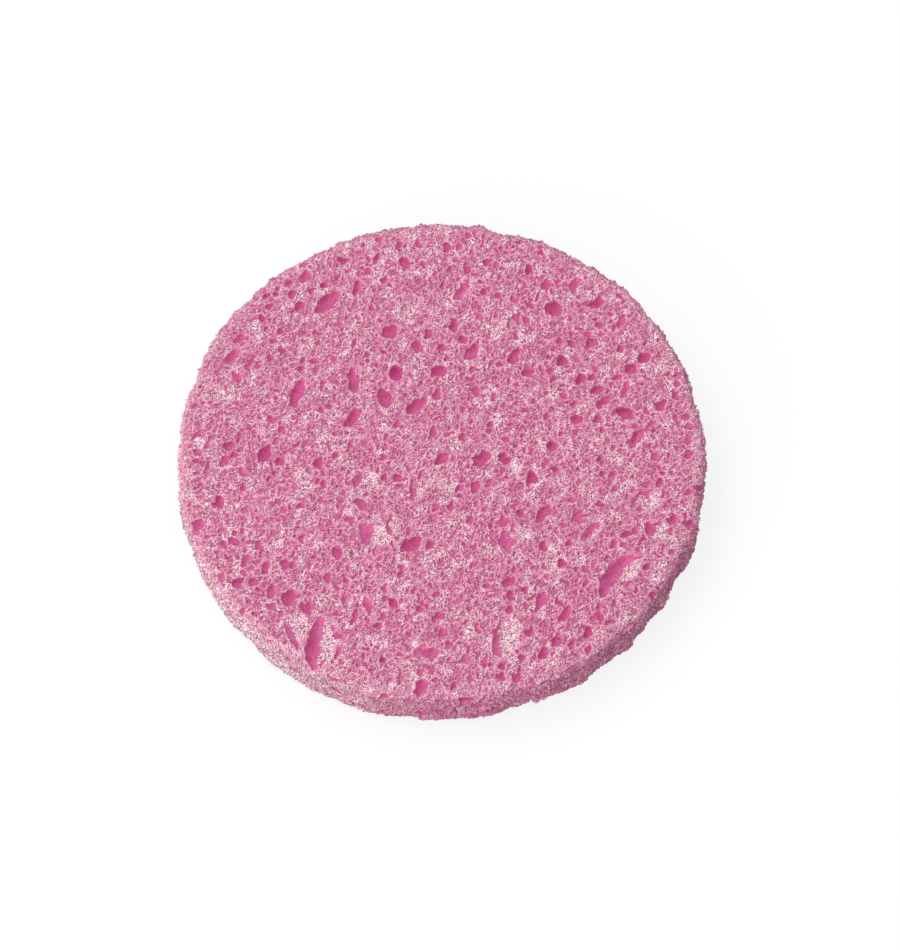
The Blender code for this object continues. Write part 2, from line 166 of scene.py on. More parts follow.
# Lesser pores of the top face.
LESSER_PORE_SHARES = (
    (-250, 840, 55, 26, 80), (-245, 925, 25, 20, 0), (-282, 833, 30, 20, 90), (-70, 810, 30, 22, 90),
    (-25, 768, 25, 18, 0), (5, 720, 40, 25, 90), (-222, 742, 30, 30, 0), (-285, 778, 40, 25, 30),
    (-455, 720, 38, 35, 60), (-260, 695, 30, 20, 30), (-265, 655, 20, 15, 30), (-50, 505, 50, 35, 90),
    (-235, 560, 20, 20, 0), (-15, 560, 30, 15, 20), (-485, 515, 30, 20, 60), (-360, 575, 20, 20, 0),
    (-365, 780, 25, 14, 60), (-140, 895, 20, 15, 60), (-665, 625, 40, 26, 40), (-620, 518, 28, 25, 0),
    (-505, 690, 30, 25, 0), (-590, 725, 42, 30, 30), (-540, 815, 35, 25, 90), (-675, 670, 40, 25, 60),
    (-640, 680, 30, 30, 0), (-580, 680, 35, 30, 50), (-635, 705, 20, 20, 0), (-675, 530, 25, 20, 60),
    (-795, 510, 25, 20, 0), (-570, 605, 40, 20, 60), (-780, 482, 52, 26, 30), (-645, 475, 30, 22, 30),
    (-610, 433, 35, 30, 0), (-655, 405, 25, 25, 0), (-735, 375, 55, 20, 50), (-535, 357, 36, 30, 30),
    (-920, 280, 20, 20, 0), (-855, 200, 20, 20, 0), (-860, 335, 30, 15, 90), (-730, 107, 30, 22, 40),
    (-765, 65, 50, 22, 85), (-605, 100, 30, 25, 0), (-625, 50, 35, 18, 70), (-665, 205, 30, 14, 40),
    (-685, 145, 18, 18, 0), (-630, 235, 20, 20, 0), (-630, 265, 15, 15, 0), (-545, 35, 40, 18, 60),
    (-885, 30, 45, 18, 60), (-925, 75, 60, 20, 60), (-620, 320, 15, 15, 0), (-645, 320, 15, 15, 0),
    (-590, 355, 15, 15, 0), (-675, 300, 25, 14, 60), (2, 447, 40, 35, 0), (-222, 425, 25, 22, 0),
    (-335, 463, 50, 25, 75), (-490, 387, 45, 30, 0), (-15, 248, 50, 30, 60), (-245, 370, 25, 18, 60),
    (-455, 180, 35, 28, 90), (-405, 80, 18, 18, 0), (-30, 90, 55, 25, 70), (-170, 120, 40, 20, 60),
    (-345, 30, 60, 22, 75), (-420, 20, 30, 15, 90), (-400, -10, 30, 25, 0), (-130, 65, 45, 15, 35),
    (-440, 260, 18, 18, 0), (-135, 245, 20, 20, 0), (-100, 40, 22, 14, 0), (-95, 365, 20, 15, 0),
    (-808, -380, 38, 28, 110), (-775, -330, 25, 25, 0), (-740, -325, 30, 20, 90),
    (-680, -375, 25, 22, 0), (-730, -447, 55, 28, 60), (-580, -455, 48, 30, 72),
    (-675, -420, 25, 15, 90), (-525, -220, 30, 25, 0), (-610, -200, 25, 22, 0),
    (-570, -230, 35, 15, 110), (-745, -145, 35, 22, 90), (-750, -85, 50, 20, 115),
    (-610, -37, 38, 32, 60), (-635, -65, 30, 14, 120), (-815, -30, 60, 30, 45), (-785, -10, 30, 25, 0),
    (-880, -55, 50, 20, 60), (-785, -435, 30, 14, 70), (-835, -410, 15, 15, 0), (-520, -360, 20, 20, 0),
    (-590, -95, 30, 15, 130), (-515, -110, 15, 15, 0), (-820, -105, 14, 14, 0),
    (-710, -610, 28, 18, 110), (-625, -628, 30, 25, 30), (-665, -650, 18, 18, 0),
    (-660, -675, 20, 15, 0), (-815, -510, 40, 18, 110), (-220, -20, 30, 22, 60),
    (-215, -100, 30, 28, 0), (-165, -103, 35, 35, 45), (-65, -130, 30, 15, 30),
    (-465, -120, 28, 22, 90), (-440, -130, 45, 25, 75), (-365, -165, 30, 14, 90),
    (-235, -75, 35, 15, 70), (-245, -185, 20, 20, 0), (-20, -225, 45, 22, 65), (-42, -380, 40, 32, 40),
    (-178, -380, 30, 14, 90), (-120, -320, 35, 20, 90), (-375, -330, 30, 20, 60),
    (-440, -320, 15, 15, 0), (-475, -430, 20, 20, 0), (-250, -400, 30, 14, 60),
    (-150, -500, 40, 25, 65), (-420, -510, 50, 25, 80), (-295, -495, 30, 15, 90),
    (-345, -470, 30, 14, 90), (-105, -480, 20, 15, 60), (-280, -170, 20, 18, 0),
    (-350, -525, 25, 20, 0), (-385, -555, 30, 20, 60), (-325, -625, 22, 20, 0),
    (-320, -672, 72, 24, 72), (-210, -550, 40, 20, 60), (-205, -595, 30, 20, 60),
    (-380, -745, 30, 25, 0), (-378, -815, 56, 18, 70), (-230, -705, 30, 25, 0), (-185, -730, 20, 20, 0),
    (-270, -680, 15, 15, 0), (-390, -655, 20, 18, 0), (-210, -840, 35, 30, 0), (-265, -795, 20, 18, 0),
    (-150, -815, 25, 15, 60), (-115, -830, 50, 14, 35), (-150, -895, 60, 15, 95),
    (-30, -820, 50, 35, 90), (-35, -880, 40, 20, 115), (-73, -953, 80, 50, 75), (0, -665, 35, 30, 0),
    (-30, -680, 20, 20, 0), (-65, -615, 30, 14, 90), (-35, -540, 35, 18, 110), (-15, -580, 30, 20, 60),
    (-100, -565, 25, 20, 60), (-75, -725, 20, 18, 0), (255, -640, 36, 26, 20), (313, -560, 35, 25, 90),
    (340, -590, 50, 20, 45), (315, -635, 40, 20, 90), (275, -670, 25, 15, 90), (135, -720, 45, 20, 100),
    (78, -735, 30, 15, 90), (30, -775, 28, 25, 0), (95, -690, 35, 20, 30), (325, -730, 42, 36, 20),
    (445, -715, 15, 15, 0), (485, -775, 56, 26, 62), (470, -530, 25, 25, 0), (345, -825, 25, 18, 90),
    (300, -830, 32, 30, 40), (165, -840, 50, 15, 80), (185, -860, 20, 20, 0), (220, -865, 25, 15, 90),
    (222, -905, 42, 34, 110), (278, -912, 38, 34, 50), (290, -880, 30, 20, 60), (35, -600, 30, 15, 20),
    (105, -635, 30, 20, 60), (200, -615, 15, 15, 0), (170, -545, 30, 20, 60), (430, -70, 36, 34, 0),
    (180, -125, 40, 20, 50), (80, -110, 28, 18, 90), (50, -110, 15, 15, 0), (250, -105, 25, 20, 0),
    (36, -220, 46, 26, 80), (100, -205, 15, 15, 0), (110, -275, 40, 22, 60), (140, -300, 20, 18, 0),
    (185, -305, 25, 25, 0), (295, -250, 32, 30, 40), (275, -215, 35, 15, 60), (450, -455, 40, 38, 0),
    (115, -465, 30, 18, 60), (120, -390, 18, 18, 0), (85, -375, 18, 18, 0), (390, -50, 30, 20, 90),
    (490, -195, 30, 25, 50), (480, -375, 30, 25, 60), (500, -475, 30, 20, 90), (270, -480, 30, 20, 90),
    (380, -465, 30, 15, 60), (325, -445, 30, 15, 90), (45, -20, 30, 14, 90), (210, -75, 20, 20, 0),
    (85, 480, 38, 26, 60), (290, 490, 30, 26, 90), (455, 475, 34, 30, 0), (500, 465, 42, 32, 90),
    (225, 375, 30, 22, 60), (215, 318, 25, 22, 0), (120, 355, 30, 20, 40), (75, 355, 25, 18, 60),
    (115, 315, 30, 20, 60), (130, 268, 25, 22, 0), (220, 285, 20, 20, 0), (290, 290, 20, 20, 0),
    (200, 235, 45, 20, 75), (20, 400, 35, 18, 60), (430, 310, 35, 22, 60), (400, 250, 25, 20, 60),
    (505, 205, 25, 22, 0), (400, 155, 30, 25, 60), (210, 185, 30, 20, 60), (20, 185, 25, 18, 60),
    (120, 130, 30, 18, 60), (190, 120, 30, 25, 60), (185, 90, 25, 20, 0), (80, 65, 35, 30, 0),
    (50, 85, 15, 15, 0), (160, 75, 18, 18, 0), (450, 80, 25, 20, 60), (30, 75, 40, 14, 50),
    (325, 180, 30, 20, 60), (355, 215, 30, 20, 60), (390, 860, 30, 25, 60), (105, 940, 25, 20, 0),
    (165, 905, 30, 15, 90), (100, 785, 35, 30, 0), (70, 745, 18, 18, 0), (155, 735, 20, 20, 0),
    (225, 755, 35, 20, 35), (310, 737, 18, 18, 0), (165, 690, 40, 30, 60), (220, 675, 30, 22, 60),
    (278, 655, 30, 18, 90), (345, 625, 25, 22, 0), (375, 665, 30, 25, 60), (450, 735, 20, 20, 0),
    (500, 575, 30, 15, 90), (500, 505, 30, 25, 60), (290, 585, 45, 25, 55), (330, 565, 35, 22, 35),
    (330, 515, 18, 18, 0), (120, 865, 30, 14, 60), (612, 545, 50, 24, 170), (515, 825, 25, 20, 60),
    (695, 560, 70, 26, 62), (665, 530, 30, 20, 60), (655, 590, 20, 20, 0), (655, 610, 15, 15, 0),
    (595, 565, 20, 20, 0), (535, 630, 30, 20, 60), (530, 530, 20, 20, 0), (710, 650, 20, 15, 0),
    (690, 440, 36, 30, 150), (835, 480, 20, 15, 60), (675, 320, 40, 22, 35), (590, 355, 35, 20, 90),
    (594, 143, 36, 34, 0), (610, 98, 25, 22, 0), (695, 110, 20, 18, 0), (815, 205, 25, 20, 60),
    (900, 330, 46, 20, 30), (905, 295, 30, 20, 60), (890, 147, 28, 20, 60), (915, 83, 18, 18, 0),
    (925, 150, 16, 16, 0), (800, 125, 40, 18, 30), (655, 20, 30, 20, 45), (790, 30, 25, 18, 60),
    (936, -5, 40, 30, 60), (940, 45, 30, 15, 60), (630, 305, 30, 15, 90), (885, 255, 30, 14, 90),
    (810, -15, 40, 20, 60), (860, -10, 30, 14, 60), (835, -85, 25, 20, 40), (870, -83, 25, 20, 50),
    (650, -90, 35, 22, 30), (825, -123, 38, 30, 60), (775, -130, 40, 18, 30), (655, -150, 30, 20, 30),
    (970, -145, 30, 30, 0), (600, -214, 36, 26, 0), (645, -380, 38, 26, 70), (680, -375, 30, 20, 60),
    (932, -295, 50, 36, 62), (915, -260, 30, 20, 60), (745, -370, 30, 18, 60), (735, -395, 15, 15, 0),
    (860, -410, 30, 20, 60), (765, -468, 44, 30, 50), (835, -170, 40, 15, 90), (840, -220, 30, 15, 90),
    (610, -45, 20, 18, 0), (570, -75, 14, 14, 0), (930, -165, 30, 20, 60), (720, -155, 30, 14, 60),
    (740, -300, 20, 14, 60), (590, -665, 30, 30, 0), (565, -675, 25, 20, 60), (583, -630, 30, 20, 60),
    (628, -692, 48, 22, 15), (645, -615, 22, 22, 0), (700, -535, 40, 20, 45), (725, -565, 30, 20, 60),
    (785, -583, 30, 25, 60), (545, -800, 40, 30, 60), (540, -535, 20, 20, 0), (500, -575, 30, 15, 90),
    (575, -565, 25, 14, 60),
)
# Shallow, blurred hollows of the top face.
FAINT_PORE_SHARES = (
    (-170, 745, 25, 20, 60), (-355, 640, 50, 20, 65), (-375, 735, 50, 20, 90), (-640, 565, 30, 25, 60),
    (-965, 155, 30, 30, 0), (-280, 40, 50, 40, 60), (-905, -370, 30, 25, 60), (-550, -145, 30, 25, 60),
    (-730, -235, 50, 30, 30), (-740, -610, 50, 20, 100), (-30, -275, 45, 40, 60),
    (-185, -920, 45, 25, 70), (-120, -670, 35, 30, 0), (90, -840, 60, 40, 30), (410, 210, 50, 20, 60),
    (185, 440, 30, 30, 0), (135, 630, 50, 30, 60), (55, 830, 40, 20, 55), (620, 715, 30, 20, 60),
    (765, 540, 40, 15, 60), (520, 410, 50, 30, 90), (690, -110, 40, 20, 60), (775, -265, 30, 25, 60),
    (715, -650, 30, 20, 60), (655, -660, 30, 30, 0),
)

# Pores of the edge. In each row: the bearing from +X in degrees, the height in thicknesses, the
# length round the edge and the height of the pore in pad radii, and the depth in pore heights.
EDGE_PORE_SHARES = (
    (8, 0.45, 0.05, 0.036, 0.6), (31, 0.6, 0.06, 0.03, 0.6), (57, 0.35, 0.045, 0.04, 0.6),
    (88, 0.55, 0.07, 0.03, 0.6), (112, 0.4, 0.05, 0.034, 0.6), (139, 0.62, 0.06, 0.03, 0.6),
    (163, 0.45, 0.045, 0.04, 0.6), (191, 0.55, 0.06, 0.032, 0.6), (218, 0.42, 0.05, 0.03, 0.6),
    (237, 0.5, 0.046, 0.036, 0.6), (247, 0.55, 0.05, 0.026, 0.6), (266, 0.36, 0.044, 0.03, 0.6),
    (277, 0.62, 0.064, 0.036, 0.6), (304, 0.5, 0.06, 0.032, 0.6), (318, 0.46, 0.05, 0.036, 0.6),
    (336, 0.55, 0.056, 0.034, 0.6),
)
# Lesser pores of the edge, in the same way.
LESSER_EDGE_PORE_SHARES = (
    (211, 0.47, 0.026, 0.014, 0.6), (247, 0.95, 0.034, 0.018, 0.6), (251, 0.27, 0.03, 0.034, 0.6),
    (253.3, 0.3, 0.028, 0.03, 0.6), (257.5, 0.27, 0.036, 0.024, 0.6), (263, 0.88, 0.034, 0.024, 0.6),
    (270.5, 0.2, 0.034, 0.016, 0.6), (273.5, 0.42, 0.038, 0.04, 0.7), (275.5, 0.92, 0.06, 0.032, 0.7),
    (282, 0.35, 0.026, 0.024, 0.6), (287.5, 0.6, 0.026, 0.03, 0.6), (292, 0.93, 0.034, 0.024, 0.6),
    (294.5, 0.68, 0.038, 0.03, 0.5), (325, 0.62, 0.04, 0.026, 0.5),
)
# Bites out of the lower rim: bearing in degrees, length round the edge and height in pad radii.
# Their middles lie this many thicknesses above the underside.
BITE_RISE_SHARE = -0.02
RIM_BITE_SHARES = (
    (264.3, 0.024, 0.07), (270.8, 0.02, 0.03), (284.9, 0.028, 0.07), (289.8, 0.03, 0.12),
    (297.5, 0.03, 0.04), (305.8, 0.032, 0.06), (316.6, 0.022, 0.12), (321.6, 0.022, 0.13),
    (328.5, 0.02, 0.06), (331.2, 0.024, 0.11), (333.6, 0.026, 0.1), (341, 0.026, 0.08),
    (350, 0.022, 0.06),
)


def length(name, description, millimetres):
    """A length that the user can set."""
    return FloatProperty(name=name, description=description, default=millimetres * MM, unit="LENGTH")


def colour(name, description, *default):
    """A colour that the user can set, as linear red, green and blue."""
    return FloatVectorProperty(name=name, description=description, default=default, subtype="COLOR")


class PadShape(bpy.types.PropertyGroup):
    """Sizes of the pad's edge and of its foam."""

    rim_round: length("Rim round", "Radius of the worn upper and lower rims", 1.2)
    edge_unevenness: length("Edge unevenness", "How far the punched edge wanders in and out", 0.4)
    lip_waver: length("Lip waver", "How far the outline of a pore strays from an oval", 0.15)
    lip_width: length("Lip width", "Width of the pale lip round a pore", 0.28)
    lip_rise: length("Lip rise", "How far the lip stands up", 0.06)
    net_cell: length("Net cell", "Width of a cell in the net of fibres between the pores", 0.68)
    net_depth: length("Net depth", "Depth of the cells below their fibres", 0.15)
    fray_depth: length("Fray", "How deeply the punched edge is torn, in and out", 2.3)
    grain_turn: FloatProperty(
        name="Grain",
        description="Direction in which the cells are drawn out, from +X",
        default=math.radians(56),
        subtype="ANGLE",
    )
    face_pores: IntProperty(
        name="Small pores of a face",
        description="How many small pores are scattered over each face",
        default=1300,
        min=0,
    )
    edge_pores: IntProperty(
        name="Small pores of the edge",
        description="How many small pores are scattered round the edge",
        default=420,
        min=0,
    )


class FoamColours(bpy.types.PropertyGroup):
    """Colours of the foam."""

    # The pale fibres and strands are partly their own colour and partly a painted highlight
    fibre: colour("Fibres", "Fibres where they lie thick", 1.0, 0.68, 0.77)
    strand: colour("Strands", "Single fibres between the cells", 0.92, 0.41, 0.575)
    felt: colour("Felt", "Between the fibres, where they lie thick", 0.61, 0.17, 0.31)
    skin: colour("Skin", "Smooth skin, where there are few fibres", 0.60, 0.125, 0.28)
    # Painted light: the pale colour of the lit slopes of the bowls, of the lips of the pores as a painted
    # highlight, and of the edge's lit side and the rims
    faded: colour("Faded", "Between the fibres, where the foam has faded", 0.69, 0.38, 0.46)
    # Painted shade in the small openings between the fibres
    opening_shade: colour("Openings", "Small openings between the fibres", 0.31, 0.065, 0.15)
    # The pores' own magenta, painted lighter for the side of a pore that lies in shade; the lit side is
    # painted darker
    pit: colour("Pores", "Inside the pores", 0.80, 0.138, 0.395)
    pit_light: colour("Pores, lit side", "Inside the pores, facing the light", 0.68, 0.112, 0.32)
    # Painted shade in the deepest places of the pores
    pit_deep_shade: colour("Pores, deepest", "Deepest places in the pores", 0.72, 0.12, 0.38)


class Studio(bpy.types.PropertyGroup):
    """Light and camera."""

    key_power: FloatProperty(
        name="Key light",
        description="Power of the soft light from the left and behind",
        default=3.73,
        unit="POWER",
    )
    fill_power: FloatProperty(
        name="Fill light",
        description="Power of the low light from the left and in front",
        default=4.9,
        unit="POWER",
    )
    sky_strength: FloatProperty(
        name="Sky",
        description="Brightness of the even light from all round",
        default=0.56,
    )
    camera_elevation: FloatProperty(
        name="Camera elevation",
        description="Height of the camera above the horizon",
        default=math.radians(65.3),
        subtype="ANGLE",
    )
    camera_distance: length("Camera distance", "From the camera to the middle of the pad", 450)
    lens: FloatProperty(
        name="Lens",
        description="Focal length of the camera, in millimetres",
        default=119.1,
    )


class Graph:
    """Adds nodes to a tree and joins them, in a material or in geometry nodes alike."""

    def __init__(self, tree):
        self.tree = tree

    def node(self, kind, inputs=None, **settings):
        made = self.tree.nodes.new(kind)
        for name, value in settings.items():
            setattr(made, name, value)
        for key, value in (inputs or {}).items():
            socket = made.inputs[key]
            if isinstance(value, bpy.types.NodeSocket):
                self.tree.links.new(value, socket)
            else:
                socket.default_value = value
        return made

    def join(self, value, node, name):
        self.tree.links.new(value, node.inputs[name])

    def math(self, operation, *values):
        return self.node("ShaderNodeMath", dict(enumerate(values)), operation=operation).outputs[0]

    def vector(self, operation, *values):
        return self.node("ShaderNodeVectorMath", dict(enumerate(values)), operation=operation).outputs[0]

    def step(self, value, low, high):
        """0 below low, 1 above high, smooth between them."""
        inputs = {"Value": value, "From Min": low, "From Max": high}
        return self.node("ShaderNodeMapRange", inputs, interpolation_type="SMOOTHSTEP").outputs[0]

    def rest(self, value):
        """What is left of 1."""
        return self.math("SUBTRACT", 1.0, value)

    def product(self, *values):
        made = values[0]
        for value in values[1:]:
            made = self.math("MULTIPLY", made, value)
        return made

    def mix(self, share, first, second):
        return self.node("ShaderNodeMix", {0: share, 2: first, 3: second}).outputs[0]

    def mix_colour(self, share, first, second, blend="MIX"):
        inputs = {0: share, 6: first, 7: second}
        return self.node("ShaderNodeMix", inputs, data_type="RGBA", blend_type=blend).outputs[2]

    def noise(self, place, size, detail=0.0, roughness=0.5, output=0):
        """Smooth noise, 0 to 1 and mostly near a half, or a colour of three such noises."""
        inputs = {"Vector": place, "Scale": 1 / size, "Detail": detail, "Roughness": roughness}
        return self.node("ShaderNodeTexNoise", inputs).outputs[output]

    def cells(self, place, size):
        """How far it is to the walls between scattered cells."""
        inputs = {"Vector": place, "Scale": 1 / size}
        return self.node("ShaderNodeTexVoronoi", inputs, feature="DISTANCE_TO_EDGE").outputs[0]


# A cell of the net is this share as wide as it is long, its length along the grain.
DRAWN_OUT_SHARE = 0.66
# Sizes in cells of the net: the waves that bend it, how far they push it, the patches of felt, the
# cells of the finer net, and the openings between the fibres.
BEND_SHARE, PUSH_SHARE, FELT_SHARE, FINE_SHARE, OPENING_SHARE = 1.5, 2.0, 2.2, 0.55, 0.35
# Between which values of the noise felt and openings begin and are full
FELT_STEP, OPENING_STEP = (0.43, 0.72), (0.6, 0.72)
# How far from its middle, in cells, a strand of the wide net and of the fine one is whole, and
# where it ends
WIDE_STRAND_STEP, FINE_STRAND_STEP = (0.02, 0.16), (0.02, 0.2)
# How much of the fine net shows on the skin and in the felt
FINE_NET_SHARES = (0.12, 0.9)


def foam_net(graph, place, shape):
    """The foam's fine structure at a place of the pad.

    It is how thick the felt of fibres lies there, how far it is to the next strand of the wide net
    and of the fine net, and how much of a dark opening between the fibres it is.
    """
    cell = shape.net_cell
    turned = graph.node(
        "ShaderNodeVectorRotate",
        {"Vector": place, "Angle": -shape.grain_turn},
        rotation_type="Z_AXIS",
    ).outputs[0]
    drawn_out = graph.vector("MULTIPLY", turned, (DRAWN_OUT_SHARE, 1.0, 1.0))
    stray = graph.noise(drawn_out, BEND_SHARE * cell, detail=2.0, output="Color")
    centred = graph.vector("SUBTRACT", stray, (0.5, 0.5, 0.5))
    pushed = graph.vector("MULTIPLY", centred, (PUSH_SHARE * cell,) * 3)
    warped = graph.vector("ADD", drawn_out, pushed)
    felt = graph.step(graph.noise(drawn_out, FELT_SHARE * cell, detail=3.0), *FELT_STEP)
    wide = graph.cells(warped, cell)
    fine = graph.cells(warped, FINE_SHARE * cell)
    openings = graph.step(graph.noise(warped, OPENING_SHARE * cell), *OPENING_STEP)
    return felt, wide, fine, openings


def fibre_share(graph, felt, wide, fine, strength):
    """How much of a fibre lies at a place. Fewer show where the felt is thin."""
    wide = graph.rest(graph.step(wide, *WIDE_STRAND_STEP))
    fine = graph.rest(graph.step(fine, *FINE_STRAND_STEP))
    wide = graph.product(wide, graph.mix(felt, strength, 1.0))
    fine = graph.product(fine, graph.mix(felt, *FINE_NET_SHARES))
    return graph.math("MAXIMUM", wide, fine)


# Panes along a side of the box, panes up its height, and how often each of them is quartered
FACE_PANES = 16
WALL_PANES = 2
PANE_LEVELS = 5
UV_NAME = "OFBake"
# Squares and strips of the UV map: the top's side, the underside's side, a strip's length and height
TOP_SHARE, UNDERSIDE_SHARE, STRIP_SHARE, STRIP_RISE_SHARE = 0.64, 0.32, 0.62, 0.078
SHEET_GAP_SHARE = 0.01


def box_of_panes():
    """A box from -1 to 1, whose panes all end up about the same size on the finished pad.

    It carries the UV map that the pad keeps: the top face large, the underside smaller beside it,
    and the four sides in strips below.
    """
    shape = bmesh.new()
    bmesh.ops.create_cube(shape, size=2)
    upright = [e for e in shape.edges if abs(e.verts[0].co.z - e.verts[1].co.z) > 1]
    bmesh.ops.subdivide_edges(shape, edges=upright, cuts=WALL_PANES - 1, use_grid_fill=True)
    level = [e for e in shape.edges if abs(e.verts[0].co.z - e.verts[1].co.z) < 0.1]
    bmesh.ops.subdivide_edges(shape, edges=level, cuts=FACE_PANES - 1, use_grid_fill=True)
    shape.normal_update()
    layer = shape.loops.layers.uv.new(UV_NAME)
    for face in shape.faces:
        for loop in face.loops:
            loop[layer].uv = sheet_place(face.normal, loop.vert.co)
    return shape


def sheet_place(normal, place):
    """Where a corner of the box lies on the UV map."""
    across, along, up = ((value + 1) / 2 for value in place)
    if normal.z > 0.5:
        return SHEET_GAP_SHARE + TOP_SHARE * across, 1 - SHEET_GAP_SHARE - TOP_SHARE * along
    if normal.z < -0.5:
        left = 2 * SHEET_GAP_SHARE + TOP_SHARE
        return left + UNDERSIDE_SHARE * across, 1 - SHEET_GAP_SHARE - UNDERSIDE_SHARE * along
    if abs(normal.x) > 0.5:
        strip, run = (0 if normal.x > 0 else 1), along
    else:
        strip, run = (2 if normal.y > 0 else 3), across
    bottom = SHEET_GAP_SHARE + strip * (STRIP_RISE_SHARE + SHEET_GAP_SHARE)
    return SHEET_GAP_SHARE + STRIP_SHARE * run, bottom + STRIP_RISE_SHARE * up


def smooth_step(value, low, high):
    """0 below low, 1 above high, smooth between them."""
    share = np.clip((value - low) / (high - low), 0, 1)
    return share * share * (3 - 2 * share)


# A ripple is this many waves laid over each other, each way. They are between these shares of the
# ripple's wavelength long.
WAVES = 7
WAVELENGTH_SHARES = (0.7, 1.5)


def ripple(flat, wavelength, seed):
    """A slow random push in the plane for each of many points, mostly within -1 to 1 each way."""
    random = np.random.default_rng(seed)
    push = np.zeros_like(flat)
    for axis in (0, 1):
        for _ in range(WAVES):
            bearing = random.uniform(0, math.tau)
            turns = math.tau / (wavelength * random.uniform(*WAVELENGTH_SHARES))
            run = flat[:, 0] * math.cos(bearing) + flat[:, 1] * math.sin(bearing)
            push[:, axis] += np.sin(run * turns + random.uniform(0, math.tau))
    return push / math.sqrt(WAVES)


# A pore: its middle, length, width and depth in metres, the length's turn, how dark its inside is
# from 0 to 1, how gently its side slopes down (0.5 is steep, 1.5 a shallow dish), how far the smooth
# dark wall, painted shade, reaches across it from its shaded side (1 or more is all of it), and how much
# painted shade its deepest places get.
Pore = namedtuple("Pore", "across along length width depth turn dark slope spread gloom")
# The smooth dark wall of a bowl, painted shade, lies in this direction from its middle, away from the lit
# side.
SHADED_SIDE = math.radians(145)
# The outline of a pore wavers in long waves, and by this share as much in short ones.
LONG_WAVER, SHORT_WAVER = 1.6 * MM, 0.7 * MM
SHORT_WAVER_SHARE = 0.4
LONG_WAVER_SEED, SHORT_WAVER_SEED = 1, 2
# A pore's outline is this much larger than its hollow.
OUTLINE_GROWTH = 1.02
# A bowl's smooth dark wall, its painted shade, fades out over this much of the way across, which is 2
# from rim to rim.
WALL_FADE = 1.2
# The edge is torn deeper behind by this share than at the sides, and less deep in front.
BACK_FRAY_SHARE = 0.2
# The edge wanders from this many rounds of the rim inwards, and the lower rim's inset fades out
# between these heights in thicknesses.
EDGE_ROUNDS = 4
INSET_FADE_SHARES = (0.1, 0.8)

# What a vertex shows, from 0 to 1: the dark inside of a pore, its pale slope (painted light), its lit
# side (for painted light and shade in its colour), its deepest place (painted shade), and its lip
# (painted paler, a painted highlight).
MARKS = ("pit", "pale", "glow", "gloom", "lip")
# Where the marks begin and are full on the way from a pore's rim, 0, to its middle, 1, and for the
# lit side on the way across it, from -1 at the smooth wall's rim to 1
PIT_STEP, PALE_STEP, DEEP_SHADE_STEP = (0.0, 0.22), (0.0, 0.4), (0.1, 0.9)
LIT_SIDE_STEP = (-0.8, 0.6)


